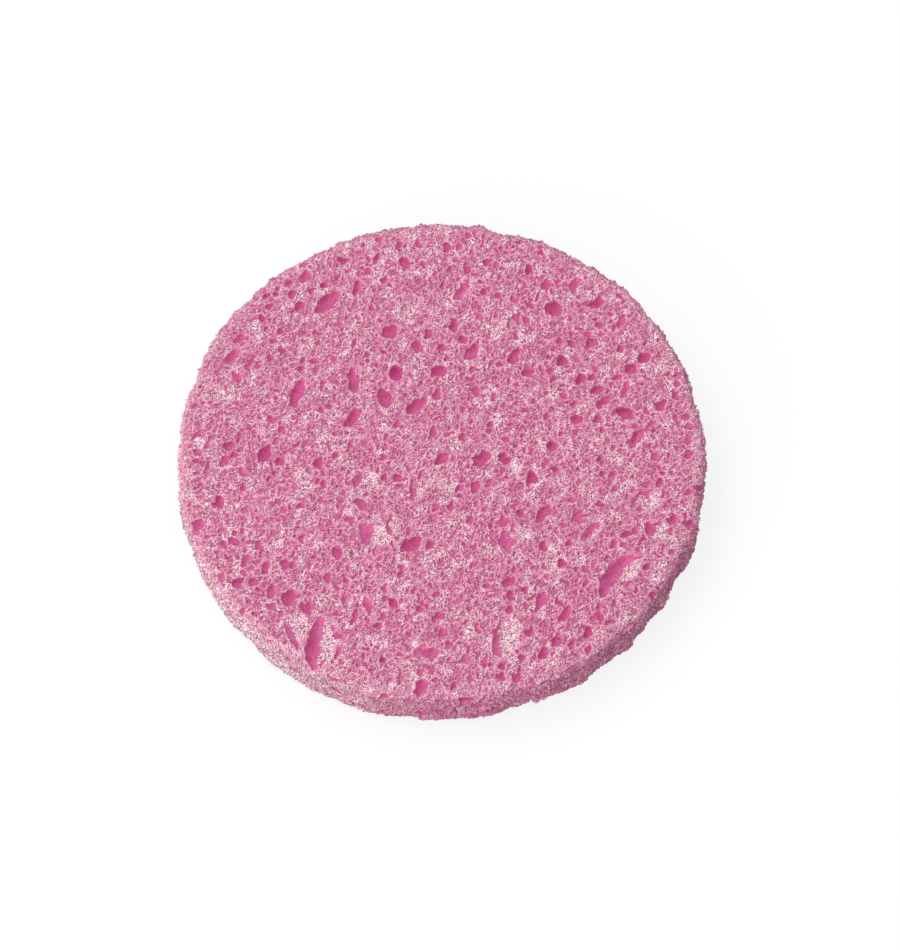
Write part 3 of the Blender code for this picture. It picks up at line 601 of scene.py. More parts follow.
class Pad:
    """The fine mesh as arrays: where each vertex lies, which way it faces, and what it shows."""

    def __init__(self, mesh, shape):
        self.shape = shape
        self.mesh = mesh
        count = len(mesh.vertices)
        box = np.empty(count * 3, np.float32)
        mesh.vertices.foreach_get("co", box)
        self.round_off(box.reshape(-1, 3).astype(float))
        for name in ("depth", *MARKS):
            setattr(self, name, np.zeros(count))
        self.push = -self.outward

    def round_off(self, box):
        """Turns the box into a disc with rounded rims, every pane about as large as the next."""
        # Rings of the box's square faces become round, with the bearings spread evenly.
        x, y, z = box.T
        reach = np.maximum(np.abs(x), np.abs(y))
        sideways = np.abs(x) >= np.abs(y)
        turn = np.where(sideways, y / np.where(x == 0, 1, x), -x / np.where(y == 0, 1, y))
        start = np.where(
            sideways,
            np.where(x < 0, math.pi, 0),
            np.where(y < 0, -math.pi / 2, math.pi / 2),
        )
        self.bearing = start + turn * math.pi / 4
        # How far each vertex lies along the profile, from the middle of the top to the underside's
        rim = self.shape.rim_round
        inner = RADIUS - rim
        quarter = rim * math.pi / 2
        wall = THICKNESS - 2 * rim
        face = inner + quarter / 2
        side = wall + quarter
        on_side = face + (1 - z) / 2 * side
        run = np.where(z >= 1, reach * face, np.where(z <= -1, face + side + (1 - reach) * face, on_side))
        marks = np.cumsum([inner, quarter, wall, quarter])
        angle = np.interp(run, marks, np.radians([90, 0, 0, -90]))
        core = np.interp(run, [0, marks[0], marks[3], marks[3] + inner], [0, inner, inner, 0])
        height = np.interp(run, marks[1:3], [THICKNESS - rim, rim])
        self.angle = angle
        self.down = run - (face + side / 2)
        self.height = height + rim * np.sin(angle)
        self.from_axis = core + rim * np.cos(angle)
        self.from_axis += self.edge_offset()
        direction = np.stack([np.cos(self.bearing), np.sin(self.bearing)], 1)
        self.outward = np.column_stack([direction * np.cos(angle)[:, None], np.sin(angle)])
        self.place = np.column_stack([direction * self.from_axis[:, None], self.height])

    def edge_offset(self):
        """How far the edge stands out, nothing well inside it."""
        rim = self.shape.rim_round
        waves = sum(
            share * np.sin(count * self.bearing + math.radians(start))
            for count, share, start in EDGE_WAVE_SHARES
        )
        bearings, insets = zip(*LOWER_RIM_SHARES)
        inset = np.interp(np.degrees(self.bearing) % 360, bearings, insets) * THICKNESS
        low = 1 - smooth_step(self.height, *(share * THICKNESS for share in INSET_FADE_SHARES))
        near = smooth_step(self.from_axis, RADIUS - EDGE_ROUNDS * rim, RADIUS - rim)
        return near * (self.shape.edge_unevenness * waves - inset * low)

    def sink(self, where, flat, pores):
        """Sinks pores into some of the vertices, given where those lie on a flat sheet."""
        waver = self.shape.lip_waver
        lip = self.shape.lip_width
        short = SHORT_WAVER_SHARE * waver * ripple(flat, SHORT_WAVER, SHORT_WAVER_SEED)
        flat = flat + waver * ripple(flat, LONG_WAVER, LONG_WAVER_SEED) + short
        order = np.argsort(flat[:, 0])
        where, flat = where[order], flat[order]
        for pore in pores:
            reach = pore.length / 2 + lip
            first, last = np.searchsorted(flat[:, 0], (pore.across - reach, pore.across + reach))
            x, y = (flat[first:last] - (pore.across, pore.along)).T
            cos, sin = math.cos(pore.turn), math.sin(pore.turn)
            ahead, aside = x * cos + y * sin, y * cos - x * sin
            from_middle = np.hypot(ahead * 2 / pore.length, aside * 2 / pore.width)
            outside = (from_middle - 1) * pore.width / 2
            near = np.flatnonzero(outside < lip)
            vertices, from_middle, outside = where[first:last][near], from_middle[near], outside[near]
            # 1 in the middle, 0 at the rim
            inside = np.clip(1 - (OUTLINE_GROWTH * from_middle) ** 2, 0, 1)
            # 1 at the smooth wall's rim, -1 at the rim across from it
            lean = SHADED_SIDE - pore.turn
            half = math.hypot(pore.length * math.cos(lean), pore.width * math.sin(lean)) / 2
            towards = (ahead[near] * math.cos(lean) + aside[near] * math.sin(lean)) / half
            dark = pore.dark
            # Painted shade: a pore that is not dark all over is dark only towards its shaded side
            if pore.spread < 1:
                start = 1 - WALL_FADE / 2 - 2 * pore.spread
                dark = dark * smooth_step(towards, start, start + WALL_FADE)
            self.raise_to("depth", vertices, pore.depth * inside**pore.slope)
            self.raise_to("pit", vertices, dark * smooth_step(inside, *PIT_STEP))
            # Painted light: what of a pore's inside is not dark is painted pale, as on the lit slope of a
            # bowl
            self.raise_to("pale", vertices, (1 - dark) * smooth_step(inside, *PALE_STEP))
            # Painted light and shade: the lit side of a pore is painted darker and its side in shade
            # lighter
            self.raise_to("glow", vertices, smooth_step(-towards, *LIT_SIDE_STEP))
            # Painted shade in a pore's deepest places
            self.raise_to("gloom", vertices, pore.gloom * smooth_step(inside, *DEEP_SHADE_STEP))
            # The lip round a pore stands up, and the finish paints it paler, a painted highlight
            self.raise_to("lip", vertices, 1 - smooth_step(outside, 0, lip))

    def raise_to(self, name, vertices, values):
        """Keeps the greater of what some vertices hold and what they are given."""
        held = getattr(self, name)
        held[vertices] = np.maximum(held[vertices], values)

    def write(self):
        """Moves the vertices and stores what the net and the material read."""
        self.lip *= 1 - smooth_step(self.depth, 0, self.shape.lip_rise)
        sunk = self.depth - self.shape.lip_rise * self.lip
        moved = self.place + self.push * sunk[:, None]
        self.mesh.vertices.foreach_set("co", moved.astype(np.float32).ravel())
        self.mesh.update()
        side = np.cos(self.angle) ** 2
        # Painted light: the edge is painted pale by its bearing, strongest on the left, and the rims are
        # paler all round
        bearings, lit_shares = zip(*LIT_EDGE_SHARES)
        faded = side * np.interp(np.degrees(self.bearing) % 360, bearings, lit_shares)
        rim = smooth_step(self.from_axis, RIM_PALE_FROM_SHARE * RADIUS, RIM_PALE_FULL_SHARE * RADIUS)
        faded = np.maximum(faded, RIM_PALE_SHARE * rim)
        torn = side * (1.0 + BACK_FRAY_SHARE * np.sin(self.bearing))
        shown = {name: getattr(self, name) for name in MARKS}
        shown.update(side=side, faded=faded, torn=torn)
        for name, values in shown.items():
            attribute = self.mesh.attributes.new(name, "FLOAT", "POINT")
            attribute.data.foreach_set("value", values.astype(np.float32))
        for name, vectors in (("place", moved), ("inward", -self.outward)):
            attribute = self.mesh.attributes.new(name, "FLOAT_VECTOR", "POINT")
            attribute.data.foreach_set("vector", vectors.astype(np.float32).ravel())


# A pore moves towards -X and towards +Y by this share of its depth as it goes down.
PORE_LEAN_SHARE = 0.15
# The underside has every third pore of the top's first table, turned over and then about Z.
UNDERSIDE_TURN = math.radians(143)
UNDERSIDE_STEP = 3
# Bowls and holes are this share as deep as their row says. A bowl is painted pale, painted light on its
# lit slope, up to this depth in widths, darker by this much for every width more, and a hole has
# some painted shade in its deepest places when it is deeper than this.
BOWL_SINK_SHARE, HOLE_SINK_SHARE = 0.6, 0.65
PALE_BOWL_SHARE, BOWL_DARKENING = 0.35, 4
DEEP_HOLE_SHARE = 0.8
# The smooth dark wall, painted shade, reaches across a lesser pore by a share between these.
LESSER_SPREAD_SHARES = (0.75, 1.4)
# The pores of the edge are this share as deep as their row says, and this dark. The bites are this
# deep in widths, and this dark.
EDGE_SINK_SHARE, EDGE_PORE_DARK = 0.8, 0.9
BITE_DEPTH_SHARE, BITE_DARK = 0.5, 0.3
# The small pores strewn over a face lie within this share of the radius. They are this long in
# radii and up to so much longer, and stray from the grain by about this many degrees. Then come
# the spans that their width in lengths is drawn from, and their depth in widths, darkness and
# spread.
STREWN_REACH_SHARE = 0.98
STREWN_LENGTH_SHARE, STREWN_GROWTH_SHARE = 0.013, 0.024
STREWN_STRAY = 35
STREWN_WIDTH_SHARES = (0.5, 0.9)
STREWN_SHARES = ((0.3, 0.6), (0.25, 1.0), (0.6, 1.3))
# The small pores strewn round the edge are drawn from these: length in radii, bearing in degrees,
# height in thicknesses, width in lengths, turn in degrees, depth in widths, and darkness.
EDGE_DRAW_SHARES = (
    (0.012, 0.034), (0, 360), (-0.1, 1.05), (0.4, 0.9), (-30, 30), (0.3, 0.8), (0.2, 0.9),
)
# The seed of the draw for each kind of pore
LESSER_SEED, TOP_SEED, UNDERSIDE_SEED, EDGE_SEED = 11, 3, 5, 7


def shares(row):
    """A row of a table of the top face, its thousandths made shares of the radius."""
    return [value / 1000 for value in row[:4]] + list(row[4:])


def face_pore(across, along, length, width, turn, deep, dark, slope=0.6, spread=1.0, gloom=0.0):
    """A pore from places and sizes in pad radii, a turn in degrees and a depth in widths."""
    metres = [share * RADIUS for share in (across, along, length, width, deep * width)]
    return Pore(*metres, math.radians(turn), dark, slope, spread, gloom)


def main_pores():
    """The pores that the solid has too: pale bowls, and holes that are dark all over."""
    pores = []
    for row in TOP_PORE_SHARES:
        *oval, depth = shares(row)
        if depth <= BOWL_DEPTH_SHARE and oval[2] >= BOWL_LENGTH_SHARE:
            dark = min(1, BOWL_DARKENING * (depth - PALE_BOWL_SHARE))
            look = {"deep": BOWL_SINK_SHARE * depth, "dark": dark, "slope": 1.0, "spread": depth}
        else:
            gloom = max(0, depth - DEEP_HOLE_SHARE)
            look = {"deep": HOLE_SINK_SHARE * depth, "dark": 1.0, "slope": 0.45, "gloom": gloom}
        pores.append(face_pore(*oval, **look))
    return pores


def lesser_pores():
    """The lesser pores and the faint ones."""
    random = Random(LESSER_SEED)
    pores = []
    for row in LESSER_PORE_SHARES:
        spread = random.uniform(*LESSER_SPREAD_SHARES)
        pores.append(face_pore(*shares(row), deep=0.52, dark=0.95, slope=0.5, spread=spread))
    for row in FAINT_PORE_SHARES:
        pores.append(face_pore(*shares(row), deep=0.35, dark=0.5, slope=1.0))
    return pores


def scattered_pores(shape, seed):
    """Small pores strewn over a face, most of them short, and drawn out along the grain."""
    random = Random(seed)
    pores = []
    for _ in range(shape.face_pores):
        bearing = random.uniform(0, math.tau)
        from_middle = STREWN_REACH_SHARE * math.sqrt(random.random())
        length = STREWN_LENGTH_SHARE + STREWN_GROWTH_SHARE * random.random() ** 2
        across, along = from_middle * math.cos(bearing), from_middle * math.sin(bearing)
        width = length * random.uniform(*STREWN_WIDTH_SHARES)
        turn = math.degrees(shape.grain_turn) + random.gauss(0, STREWN_STRAY)
        deep, dark, spread = (random.uniform(*span) for span in STREWN_SHARES)
        pores.append(face_pore(across, along, length, width, turn, deep, dark, spread=spread))
    return pores


def edge_pores(shape):
    """Pores of the edge, on a sheet with the run round the edge across and the way down along.

    Each is there three times, a lap apart, so that those at the ends of the sheet are whole.
    """
    # Bearing, height in thicknesses, length, width, turn, depth in widths, and darkness
    rows = []
    for bearing, height, length, width, deep in EDGE_PORE_SHARES + LESSER_EDGE_PORE_SHARES:
        rows.append((bearing, height, length, width, 0, EDGE_SINK_SHARE * deep, EDGE_PORE_DARK))
    for bearing, length, width in RIM_BITE_SHARES:
        rows.append((bearing, BITE_RISE_SHARE, length, width, 0, BITE_DEPTH_SHARE, BITE_DARK))
    random = Random(EDGE_SEED)
    for _ in range(shape.edge_pores):
        length, bearing, height, narrow, turn, deep, dark = (
            random.uniform(*span) for span in EDGE_DRAW_SHARES
        )
        rows.append((bearing, height, length, length * narrow, turn, deep, dark))
    pores = []
    for bearing, height, *sizes in rows:
        for lap in (-math.tau, 0, math.tau):
            across = math.radians(bearing) + lap
            pores.append(face_pore(across, (0.5 - height) * THICKNESS / RADIUS, *sizes))
    return pores


# Which vertices take the pores of a face: those whose outward direction rises or falls by more
# than this. Those of the edge point no further up or down than this angle.
FACE_RISE = 0.15
EDGE_ANGLE = math.radians(80)


def pitted_pad(mesh, shape):
    """Rounds the mesh off and sinks all its pores."""
    pad = Pad(mesh, shape)
    pores = main_pores()
    # Dark pits in the bowls; the deepest spots, sunk a little with painted shade; and the pale patches,
    # painted light
    for rows, look in (
        (BOWL_PIT_SHARES, {"deep": 0.6, "dark": 1.0, "slope": 1.0}),
        (DEEP_SPOT_SHARES, {"deep": 0.3, "dark": 1.0, "slope": 1.0, "gloom": 1.0}),
        (PALE_PATCH_SHARES, {"deep": 0.15, "dark": 0.0, "slope": 1.5}),
    ):
        pores += [face_pore(*shares(row), **look) for row in rows]
    pores += lesser_pores() + scattered_pores(shape, TOP_SEED)
    top = np.flatnonzero(pad.outward[:, 2] > FACE_RISE)
    pad.sink(top, pad.place[top, :2], pores)
    lean = np.array([-PORE_LEAN_SHARE, PORE_LEAN_SHARE, 0])
    pad.push[top] += pad.outward[top, 2:] * lean

    under = np.flatnonzero(pad.outward[:, 2] < -FACE_RISE)
    turnover = np.array(Matrix.Rotation(UNDERSIDE_TURN, 3, "Z") @ Matrix.Rotation(math.pi, 3, "X"))
    turned = pad.place[under] @ turnover
    pores = main_pores()[::UNDERSIDE_STEP] + lesser_pores()
    pores += scattered_pores(shape, UNDERSIDE_SEED)
    pad.sink(under, turned[:, :2], pores)
    pad.push[under] -= pad.outward[under, 2:] * (turnover @ lean)

    side = np.flatnonzero(np.abs(pad.angle) < EDGE_ANGLE)
    flat = np.column_stack([pad.bearing[side] * RADIUS, pad.down[side]])
    pad.sink(side, flat, edge_pores(shape))
    pad.write()


# The tears of the edge: the size and the flattening of the noise that they follow, and the value of
# the noise at which the edge stays where it is.
TEAR_SIZE = 0.8 * MM
TEAR_PRESS = (0.5, 0.5, 1.0)
TEAR_MIDDLE = 0.46
# How far from a strand's middle, in cells, the hollow begins, and where it has its full depth
HOLLOW_STEP = (0.03, 0.42)
# How deep the hollows are in the felt and inside the pores, as shares of those on the skin, and
# how deep the openings of the felt are
FELT_HOLLOW_SHARE, PIT_HOLLOW_SHARE, OPENING_DEPTH_SHARE = 0.6, 0.12, 0.4


def net_modifier(pad, shape):
    """Geometry nodes that sink the cells of the net between their fibres and tear the edge."""
    tree = bpy.data.node_groups.new("foam_net", "GeometryNodeTree")
    tree.interface.new_socket("Geometry", in_out="INPUT", socket_type="NodeSocketGeometry")
    tree.interface.new_socket("Geometry", in_out="OUTPUT", socket_type="NodeSocketGeometry")
    graph = Graph(tree)
    entry = graph.node("NodeGroupInput").outputs[0]

    def stored(name, kind="FLOAT"):
        return graph.node("GeometryNodeInputNamedAttribute", {"Name": name}, data_type=kind).outputs[0]

    place = graph.node("GeometryNodeInputPosition").outputs[0]
    felt, wide, _, openings = foam_net(graph, place, shape)
    hollow = graph.product(graph.step(wide, *HOLLOW_STEP), graph.mix(felt, 1.0, FELT_HOLLOW_SHARE))
    hollow = graph.math("ADD", hollow, graph.product(openings, felt, OPENING_DEPTH_SHARE))
    shallow = graph.mix(stored("pit"), 1.0, PIT_HOLLOW_SHARE)
    depth = graph.product(hollow, shallow, shape.net_depth)
    level = graph.vector("MULTIPLY", place, TEAR_PRESS)
    tear = graph.noise(level, TEAR_SIZE, detail=3.0, roughness=0.8)
    tear = graph.math("SUBTRACT", tear, TEAR_MIDDLE)
    tear = graph.product(tear, stored("torn"), shape.fray_depth)
    depth = graph.math("ADD", depth, tear)
    inward = stored("inward", "FLOAT_VECTOR")
    offset = graph.node("ShaderNodeVectorMath", {0: inward, "Scale": depth}, operation="SCALE").outputs[0]
    moved = graph.node("GeometryNodeSetPosition", {"Geometry": entry, "Offset": offset}).outputs[0]
    graph.node("NodeGroupOutput", {0: moved})
    modifier = pad.modifiers.new("foam_net", "NODES")
    modifier.node_group = tree


def apply_modifiers(thing):
    """Replaces an object's mesh by what its modifiers make of it."""
    graph = bpy.context.evaluated_depsgraph_get()
    evaluated = thing.evaluated_get(graph)
    made = bpy.data.meshes.new_from_object(evaluated, preserve_all_data_layers=True, depsgraph=graph)
    made.name = thing.name
    thing.modifiers.clear()
    thing.data = made


# Sizes of what varies in the finish: the ragged border of a pore's colour, the layers of the edge,
# the stretches in which single fibres stand out, and the grit. Layers are pressed flat.
RAGGED_SIZE, LAYER_SIZE, STRETCH_SIZE, GRIT_SIZE = 0.25 * MM, 2.8 * MM, 0.9 * MM, 0.15 * MM
LAYER_PRESS = (1.0, 1.0, 4.5)
# Between which values of its noise each of them begins and is full
RAGGED_STEP, LAYER_STEP, STRETCH_STEP, GRIT_STEP = (0.12, 0.72), (0.38, 0.6), (0.3, 0.6), (0.35, 0.65)
# How far fibres and openings seem to stand up and to lie low in the finish
FIBRE_RELIEF = 0.1 * MM
# What the grit does to the foam's colour, at its darkest and at its brightest
DARK_GRIT = (0.52, 0.38, 0.45, 1)
BRIGHT_GRIT = (1.46, 1.72, 1.58, 1)
# How much felt covers the places painted pale (painted light on lit slopes and the edge's lit side, and
# the paler rims), how far noise moves a pore's border, and how much lighter the openings' painted shade
# is where the edge is painted lit
LIT_AND_WORN_FELT_SHARE, RAGGED_SHARE, LIT_OPENING_SHARE = 0.9, 0.6, 0.5
# How dark the painted shade of the openings is on the skin and in the felt, and how much of a fibre shows
# in the weak stretches and in the strong ones
OPENING_DARK_SHARES, STRETCH_SHARES = (0.5, 0.85), (0.3, 1.0)
# How much of a fibre shows on the lips of the pores, a painted highlight, and on the edge away from the
# light, fewer as painted shade
LIP_FIBRE_SHARE, UNLIT_EDGE_FIBRE_SHARE = 0.75, 0.72
# How much the edge shows its layers, how pale these are beside a fibre and on it, and how pale
# the dark layers and the pale ones are
LAYERED_SHARE, BESIDE_FIBRE_SHARES, LAYER_SHARES = 0.8, (0.12, 1.0), (0.5, 1.15)
# How much painted light pales the lit slopes, the lips (a painted highlight) and the dark layers of the
# edge's lit side
SLOPE_LIGHT_SHARE, LIP_HIGHLIGHT_SHARE, LAYER_LIGHT_SHARE = 0.6, 0.3, 0.25
# How much of the pores' deeper colour the edge away from the light has, as painted shade, and their
# insides beside a fibre and on it
UNLIT_EDGE_PIT_SHARE, PIT_SHARES = 0.75, (0.97, 0.86)
# How much calmer grit is in the pores, on the skin and on the edge away from the light, and what calm
# grit is
CALM_PIT_SHARE, CALM_SKIN_SHARE, CALM_EDGE_SHARE, CALM_GRIT_SHARE = 0.7, 0.3, 0.35, 0.5
# How much smoother pores are inside, and how rough the foam is beside a fibre and on it
SMOOTH_PIT_SHARE, ROUGHNESS_SHARES = 0.9, (0.95, 0.8)


def new_material(name):
    """A material, the graph of its nodes, and its shader."""
    material = bpy.data.materials.new(name)
    material.use_nodes = True
    return material, Graph(material.node_tree), material.node_tree.nodes["Principled BSDF"]


def set_inputs(node, values):
    """Sets some of a node's inputs, by their names."""
    for name, value in values.items():
        node.inputs[name].default_value = value


def foam_look(graph, shape):
    """What the finish is mixed from: what the mesh holds at a place, and the net of fibres there."""

    def stored(name):
        return graph.node("ShaderNodeAttribute", attribute_name=name)

    look = SimpleNamespace(place=stored("place").outputs["Vector"])
    for name in (*MARKS, "side", "faded"):
        setattr(look, name, stored(name).outputs["Fac"])
    felt, wide, fine, openings = foam_net(graph, look.place, shape)
    # Painted light on the lit slopes and the edge's lit side, with the paler rims, carries more felt
    lit_and_worn = graph.math("MAXIMUM", look.pale, look.faded)
    look.felt = graph.math("MAXIMUM", felt, graph.product(lit_and_worn, LIT_AND_WORN_FELT_SHARE))
    stray = graph.math("SUBTRACT", graph.noise(look.place, RAGGED_SIZE, detail=1.0), 0.5)
    ragged = graph.math("ADD", look.pit, graph.product(stray, RAGGED_SHARE))
    look.pit = graph.step(ragged, *RAGGED_STEP)
    # Painted shade: the edge away from the light, where it is not painted pale, takes the pores' deeper
    # colour, fewer fibres and calmer grit
    look.bare = graph.product(look.side, graph.rest(look.faded))
    level = graph.vector("MULTIPLY", look.place, LAYER_PRESS)
    look.layers = graph.step(graph.noise(level, LAYER_SIZE, detail=2.5), *LAYER_STEP)
    look.fibres = shown_fibres(graph, look, wide, fine)
    # Painted shade in the openings, lighter where the edge is painted lit
    less_lit = graph.rest(graph.product(look.faded, LIT_OPENING_SHARE))
    look.dark = graph.product(openings, graph.mix(look.felt, *OPENING_DARK_SHARES), less_lit)
    return look


def shown_fibres(graph, look, wide, fine):
    """How much of a fibre shows, fewer on the edge away from the light, as painted shade, and between its
    layers.
    """
    strength = graph.step(graph.noise(look.place, STRETCH_SIZE, detail=1.0), *STRETCH_STEP)
    fibres = fibre_share(graph, look.felt, wide, fine, graph.mix(strength, *STRETCH_SHARES))
    fibres = graph.math("MAXIMUM", fibres, graph.product(look.lip, LIP_FIBRE_SHARE))
    pale = graph.mix(fibres, *BESIDE_FIBRE_SHARES)
    layered = graph.product(pale, graph.mix(look.layers, *LAYER_SHARES))
    fibres = graph.mix(graph.product(look.side, LAYERED_SHARE), fibres, layered)
    return graph.product(fibres, graph.mix(look.bare, 1.0, UNLIT_EDGE_FIBRE_SHARE))


def lit_and_rim_paleness(graph, look):
    """How pale the foam is painted: painted light on the lit slopes, a painted highlight on the lips, and
    streaks of painted light on the edge's lit side, with the paler rims.
    """
    slopes = graph.product(look.pale, SLOPE_LIGHT_SHARE)
    lips = graph.product(look.lip, LIP_HIGHLIGHT_SHARE)
    between = graph.product(look.side, graph.rest(look.layers))
    streaks = graph.product(look.faded, graph.mix(between, 1.0, LAYER_LIGHT_SHARE))
    return graph.math("MAXIMUM", graph.math("MAXIMUM", slopes, lips), streaks)


def foam_colour(graph, colours, look):
    """From the skin up to the fibres, then the openings and the insides of the pores."""
    colour = graph.mix_colour(look.felt, (*colours.skin, 1), (*colours.felt, 1))
    # Painted light: paler on the lit slopes, the lips and the edge's lit side, and on the rims
    colour = graph.mix_colour(lit_and_rim_paleness(graph, look), colour, (*colours.faded, 1))
    # Painted shade on the edge away from the light
    bare = graph.product(look.bare, UNLIT_EDGE_PIT_SHARE)
    colour = graph.mix_colour(bare, colour, (*colours.pit, 1))
    strand = graph.mix_colour(look.felt, (*colours.strand, 1), (*colours.fibre, 1))
    colour = graph.mix_colour(look.fibres, colour, strand)
    # Painted shade in the openings
    colour = graph.mix_colour(look.dark, colour, (*colours.opening_shade, 1))
    crossed = graph.mix(look.fibres, *PIT_SHARES)
    # Painted light and shade inside the pores: lighter on the side in shade, darker on the lit side,
    # darker still in the deepest places
    within = graph.mix_colour(look.glow, (*colours.pit, 1), (*colours.pit_light, 1))
    within = graph.mix_colour(look.gloom, within, (*colours.pit_deep_shade, 1))
    return graph.mix_colour(graph.product(look.pit, crossed), colour, within)


def with_grit(graph, colour, look):
    """Grit over a colour, calmer in the pores, on the skin and on the edge away from the light."""
    grit = graph.step(graph.noise(look.place, GRIT_SIZE), *GRIT_STEP)
    skin = graph.product(graph.rest(look.felt), CALM_SKIN_SHARE)
    calm = graph.math("MAXIMUM", graph.product(look.pit, CALM_PIT_SHARE), skin)
    calm = graph.math("MAXIMUM", calm, graph.product(look.bare, CALM_EDGE_SHARE))
    tint = graph.mix_colour(graph.mix(calm, grit, CALM_GRIT_SHARE), DARK_GRIT, BRIGHT_GRIT)
    return graph.mix_colour(1.0, colour, tint, "MULTIPLY")


def foam_material(shape, colours):
    """Pale fibres over a deeper pink felt, smooth pink skin, and magenta inside the pores."""
    material, graph, shader = new_material("pink_cellulose_foam")
    look = foam_look(graph, shape)
    colour = foam_colour(graph, colours, look)
    graph.join(with_grit(graph, colour, look), shader, "Base Color")
    # Fibres stand up a little and openings lie low, but not inside the pores.
    smooth = graph.rest(graph.product(look.pit, SMOOTH_PIT_SHARE))
    height = graph.product(graph.math("SUBTRACT", look.fibres, look.dark), smooth)
    bump = graph.node("ShaderNodeBump", {"Strength": 0.4, "Distance": FIBRE_RELIEF, "Height": height})
    graph.join(bump.outputs[0], shader, "Normal")
    graph.join(graph.mix(look.fibres, *ROUGHNESS_SHARES), shader, "Roughness")
    sheen = {"Sheen Weight": 0.03, "Sheen Roughness": 0.4, "Sheen Tint": (1.0, 0.86, 0.92, 1.0)}
    set_inputs(shader, {"Specular IOR Level": 0.15, **sheen})
    return material


def add_object(name, data):
    """A new object in the scene."""
    made = bpy.data.objects.new(name, data)
    bpy.context.scene.collection.objects.link(made)
    return made


def add_shape(name, shape):
    """A new object made of a bmesh, which is freed."""
    mesh = bpy.data.meshes.new(name)
    shape.to_mesh(mesh)
    shape.free()
    return add_object(name, mesh)


class SPONGE_OT_add_pad(bpy.types.Operator):
    """Builds the foam pad in place of the plain disc"""

    bl_idname = "sponge.add_pad"
    bl_label = "Foam pad"

    def execute(self, context):
        shape = context.scene.pad_shape
        pad = add_shape("sponge_pad", box_of_panes())
        split = pad.modifiers.new("panes", "SUBSURF")
        split.subdivision_type = "SIMPLE"
        split.levels = split.render_levels = PANE_LEVELS
        split.uv_smooth = "NONE"
        apply_modifiers(pad)
        pitted_pad(pad.data, shape)
        net_modifier(pad, shape)
        apply_modifiers(pad)
        pad.data.shade_smooth()
        pad.data.materials.append(foam_material(shape, context.scene.foam_colours))
        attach(pad, "root")
        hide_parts("sponge_disc")
        return {"FINISHED"}


# The floor reaches this far each way. Near the pad it has a tint that takes the pad's shadow, and
# glows a little less than white. It turns to plain white between these distances from the middle.
FLOOR_REACH = 3.0
FLOOR_TINT = (0.22, 0.22, 0.22)
NEAR_FLOOR_GLOW = 0.81
FLOOR_FADE = (0.1, 0.3)
# Where the lamps stand, and their size: a key light from the left and behind, high up, and a fill
# from the left and in front that lights the edge.
KEY_PLACE = Vector((-0.450, 0.260, 0.854))
FILL_PLACE = Vector((-0.686, -0.686, 0.242))
LAMP_SIZE = 0.7
# The middle of the picture lies this far right of the pad's middle and below it.
AIM_RIGHT = 1.26 * MM
AIM_DOWN = 1.40 * MM


def seen_directly(graph):
    """1 for rays from the camera, also by way of a mirror or a clear thing, and 0 for others."""
    rays = graph.node("ShaderNodeLightPath")
    seen = graph.math("MAXIMUM", rays.outputs["Is Camera Ray"], rays.outputs["Is Glossy Ray"])
    return graph.math("MAXIMUM", seen, rays.outputs["Is Transmission Ray"])


def floor_material():
    """A pale floor that the camera sees as white, and that keeps the pad's shadow."""
    material, graph, shader = new_material("pale_floor")
    set_inputs(shader, {"Roughness": 0.9, "Specular IOR Level": 0.0, "Emission Color": (1, 1, 1, 1)})
    place = graph.node("ShaderNodeTexCoord").outputs["Object"]
    distance = graph.node("ShaderNodeVectorMath", {0: place}, operation="LENGTH").outputs["Value"]
    far = graph.step(distance, *FLOOR_FADE)
    tint = graph.mix_colour(far, (*FLOOR_TINT, 1), (0, 0, 0, 1))
    graph.join(tint, shader, "Base Color")
    glow = graph.product(seen_directly(graph), graph.mix(far, NEAR_FLOOR_GLOW, 1.0))
    graph.join(glow, shader, "Emission Strength")
    return material


def sky(strength):
    """Even light from all round, which the camera sees as white."""
    world = bpy.data.worlds.new("sky")
    world.use_nodes = True
    graph = Graph(world.node_tree)
    backdrop = world.node_tree.nodes["Background"]
    set_inputs(backdrop, {"Color": (1, 1, 1, 1)})
    graph.join(graph.mix(seen_directly(graph), strength, 1.0), backdrop, "Strength")
    return world


def add_floor():
    """A flat floor under the pad."""
    shape = bmesh.new()
    bmesh.ops.create_grid(shape, x_segments=1, y_segments=1, size=FLOOR_REACH)
    floor = add_shape("floor", shape)
    floor.data.materials.append(floor_material())
    return floor


def add_lamps(studio):
    """Two soft lamps that face the middle of the pad."""
    for name, place, power in (
        ("key", KEY_PLACE, studio.key_power),
        ("fill", FILL_PLACE, studio.fill_power),
    ):
        lamp = bpy.data.lights.new(name, "AREA")
        lamp.energy = power
        lamp.size = LAMP_SIZE
        holder = add_object(name, lamp)
        holder.location = place
        holder.rotation_euler = (-place).to_track_quat("-Z", "Y").to_euler()


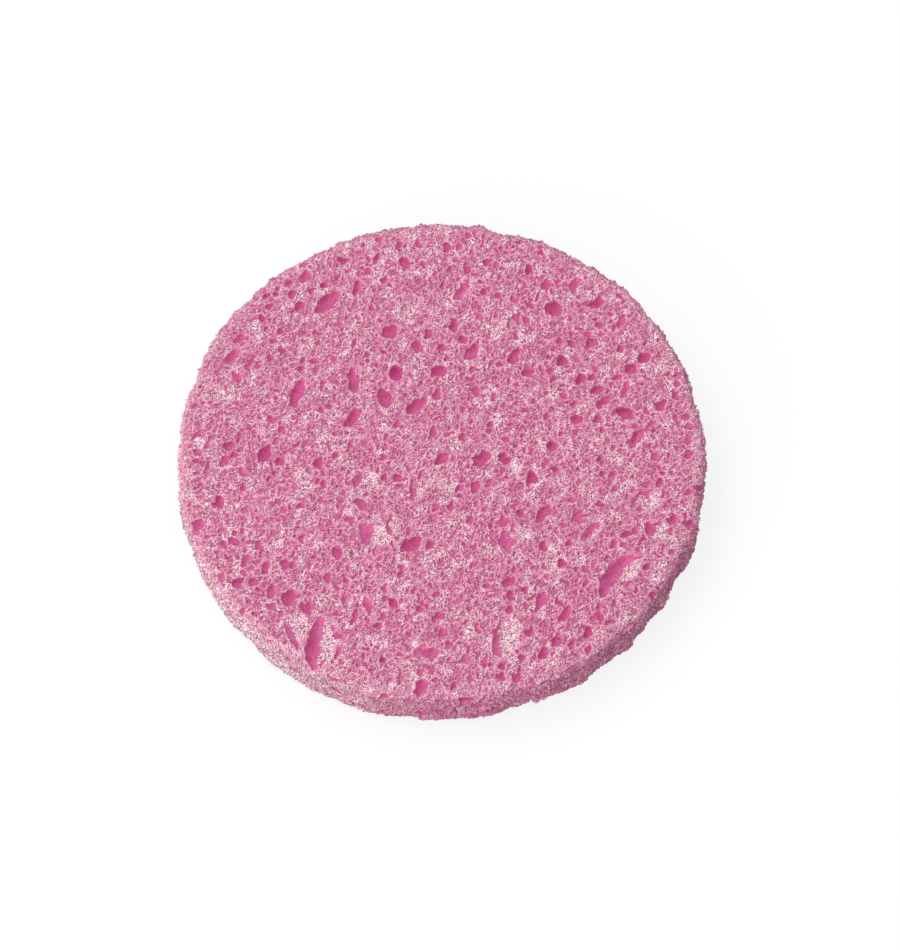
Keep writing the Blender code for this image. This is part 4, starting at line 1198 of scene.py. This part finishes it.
def add_camera(studio):
    """A camera in front of the pad, looking down on it."""
    tilt = studio.camera_elevation
    back = Vector((0, -math.cos(tilt), math.sin(tilt)))
    up = Vector((0, math.sin(tilt), math.cos(tilt)))
    aim = Vector((AIM_RIGHT, 0, THICKNESS / 2)) - up * AIM_DOWN
    camera = add_object("camera", bpy.data.cameras.new("camera"))
    camera.data.lens = studio.lens
    camera.location = aim + back * studio.camera_distance
    camera.rotation_euler = (-back).to_track_quat("-Z", "Y").to_euler()
    return camera


class SPONGE_OT_add_stage(bpy.types.Operator):
    """Adds the floor, the light and the camera"""

    bl_idname = "sponge.add_stage"
    bl_label = "Studio"

    def execute(self, context):
        studio = context.scene.studio
        floor = add_floor()
        context.scene.world = sky(studio.sky_strength)
        add_lamps(studio)
        context.scene.camera = add_camera(studio)
        context.scene.view_settings.view_transform = "Standard"
        return {"FINISHED"}


class SPONGE_PT_panel(bpy.types.Panel):
    """The sponge's sizes, colours and stage."""

    bl_idname = "SPONGE_PT_panel"
    bl_label = "Cellulose sponge"
    bl_space_type = "VIEW_3D"
    bl_region_type = "UI"
    bl_category = "Sponge"

    def draw(self, context):
        scene = context.scene
        for groups, button in (
            ((scene.pad_shape, scene.foam_colours), "sponge.add_pad"),
            ((scene.studio,), "sponge.add_stage"),
        ):
            for group in groups:
                for name in type(group).__annotations__:
                    self.layout.prop(group, name)
            self.layout.operator(button)


CLASSES = (PadShape, FoamColours, Studio, SPONGE_OT_add_pad, SPONGE_OT_add_stage, SPONGE_PT_panel)


def register():
    for one in CLASSES:
        bpy.utils.register_class(one)
    bpy.types.Scene.pad_shape = PointerProperty(type=PadShape)
    bpy.types.Scene.foam_colours = PointerProperty(type=FoamColours)
    bpy.types.Scene.studio = PointerProperty(type=Studio)


def unregister():
    del bpy.types.Scene.studio
    del bpy.types.Scene.foam_colours
    del bpy.types.Scene.pad_shape
    for one in reversed(CLASSES):
        bpy.utils.unregister_class(one)


def main():
    register()
    bpy.ops.sponge.add_stage()
    bpy.ops.sponge.add_pad()


if __name__ == "__main__":
    main()
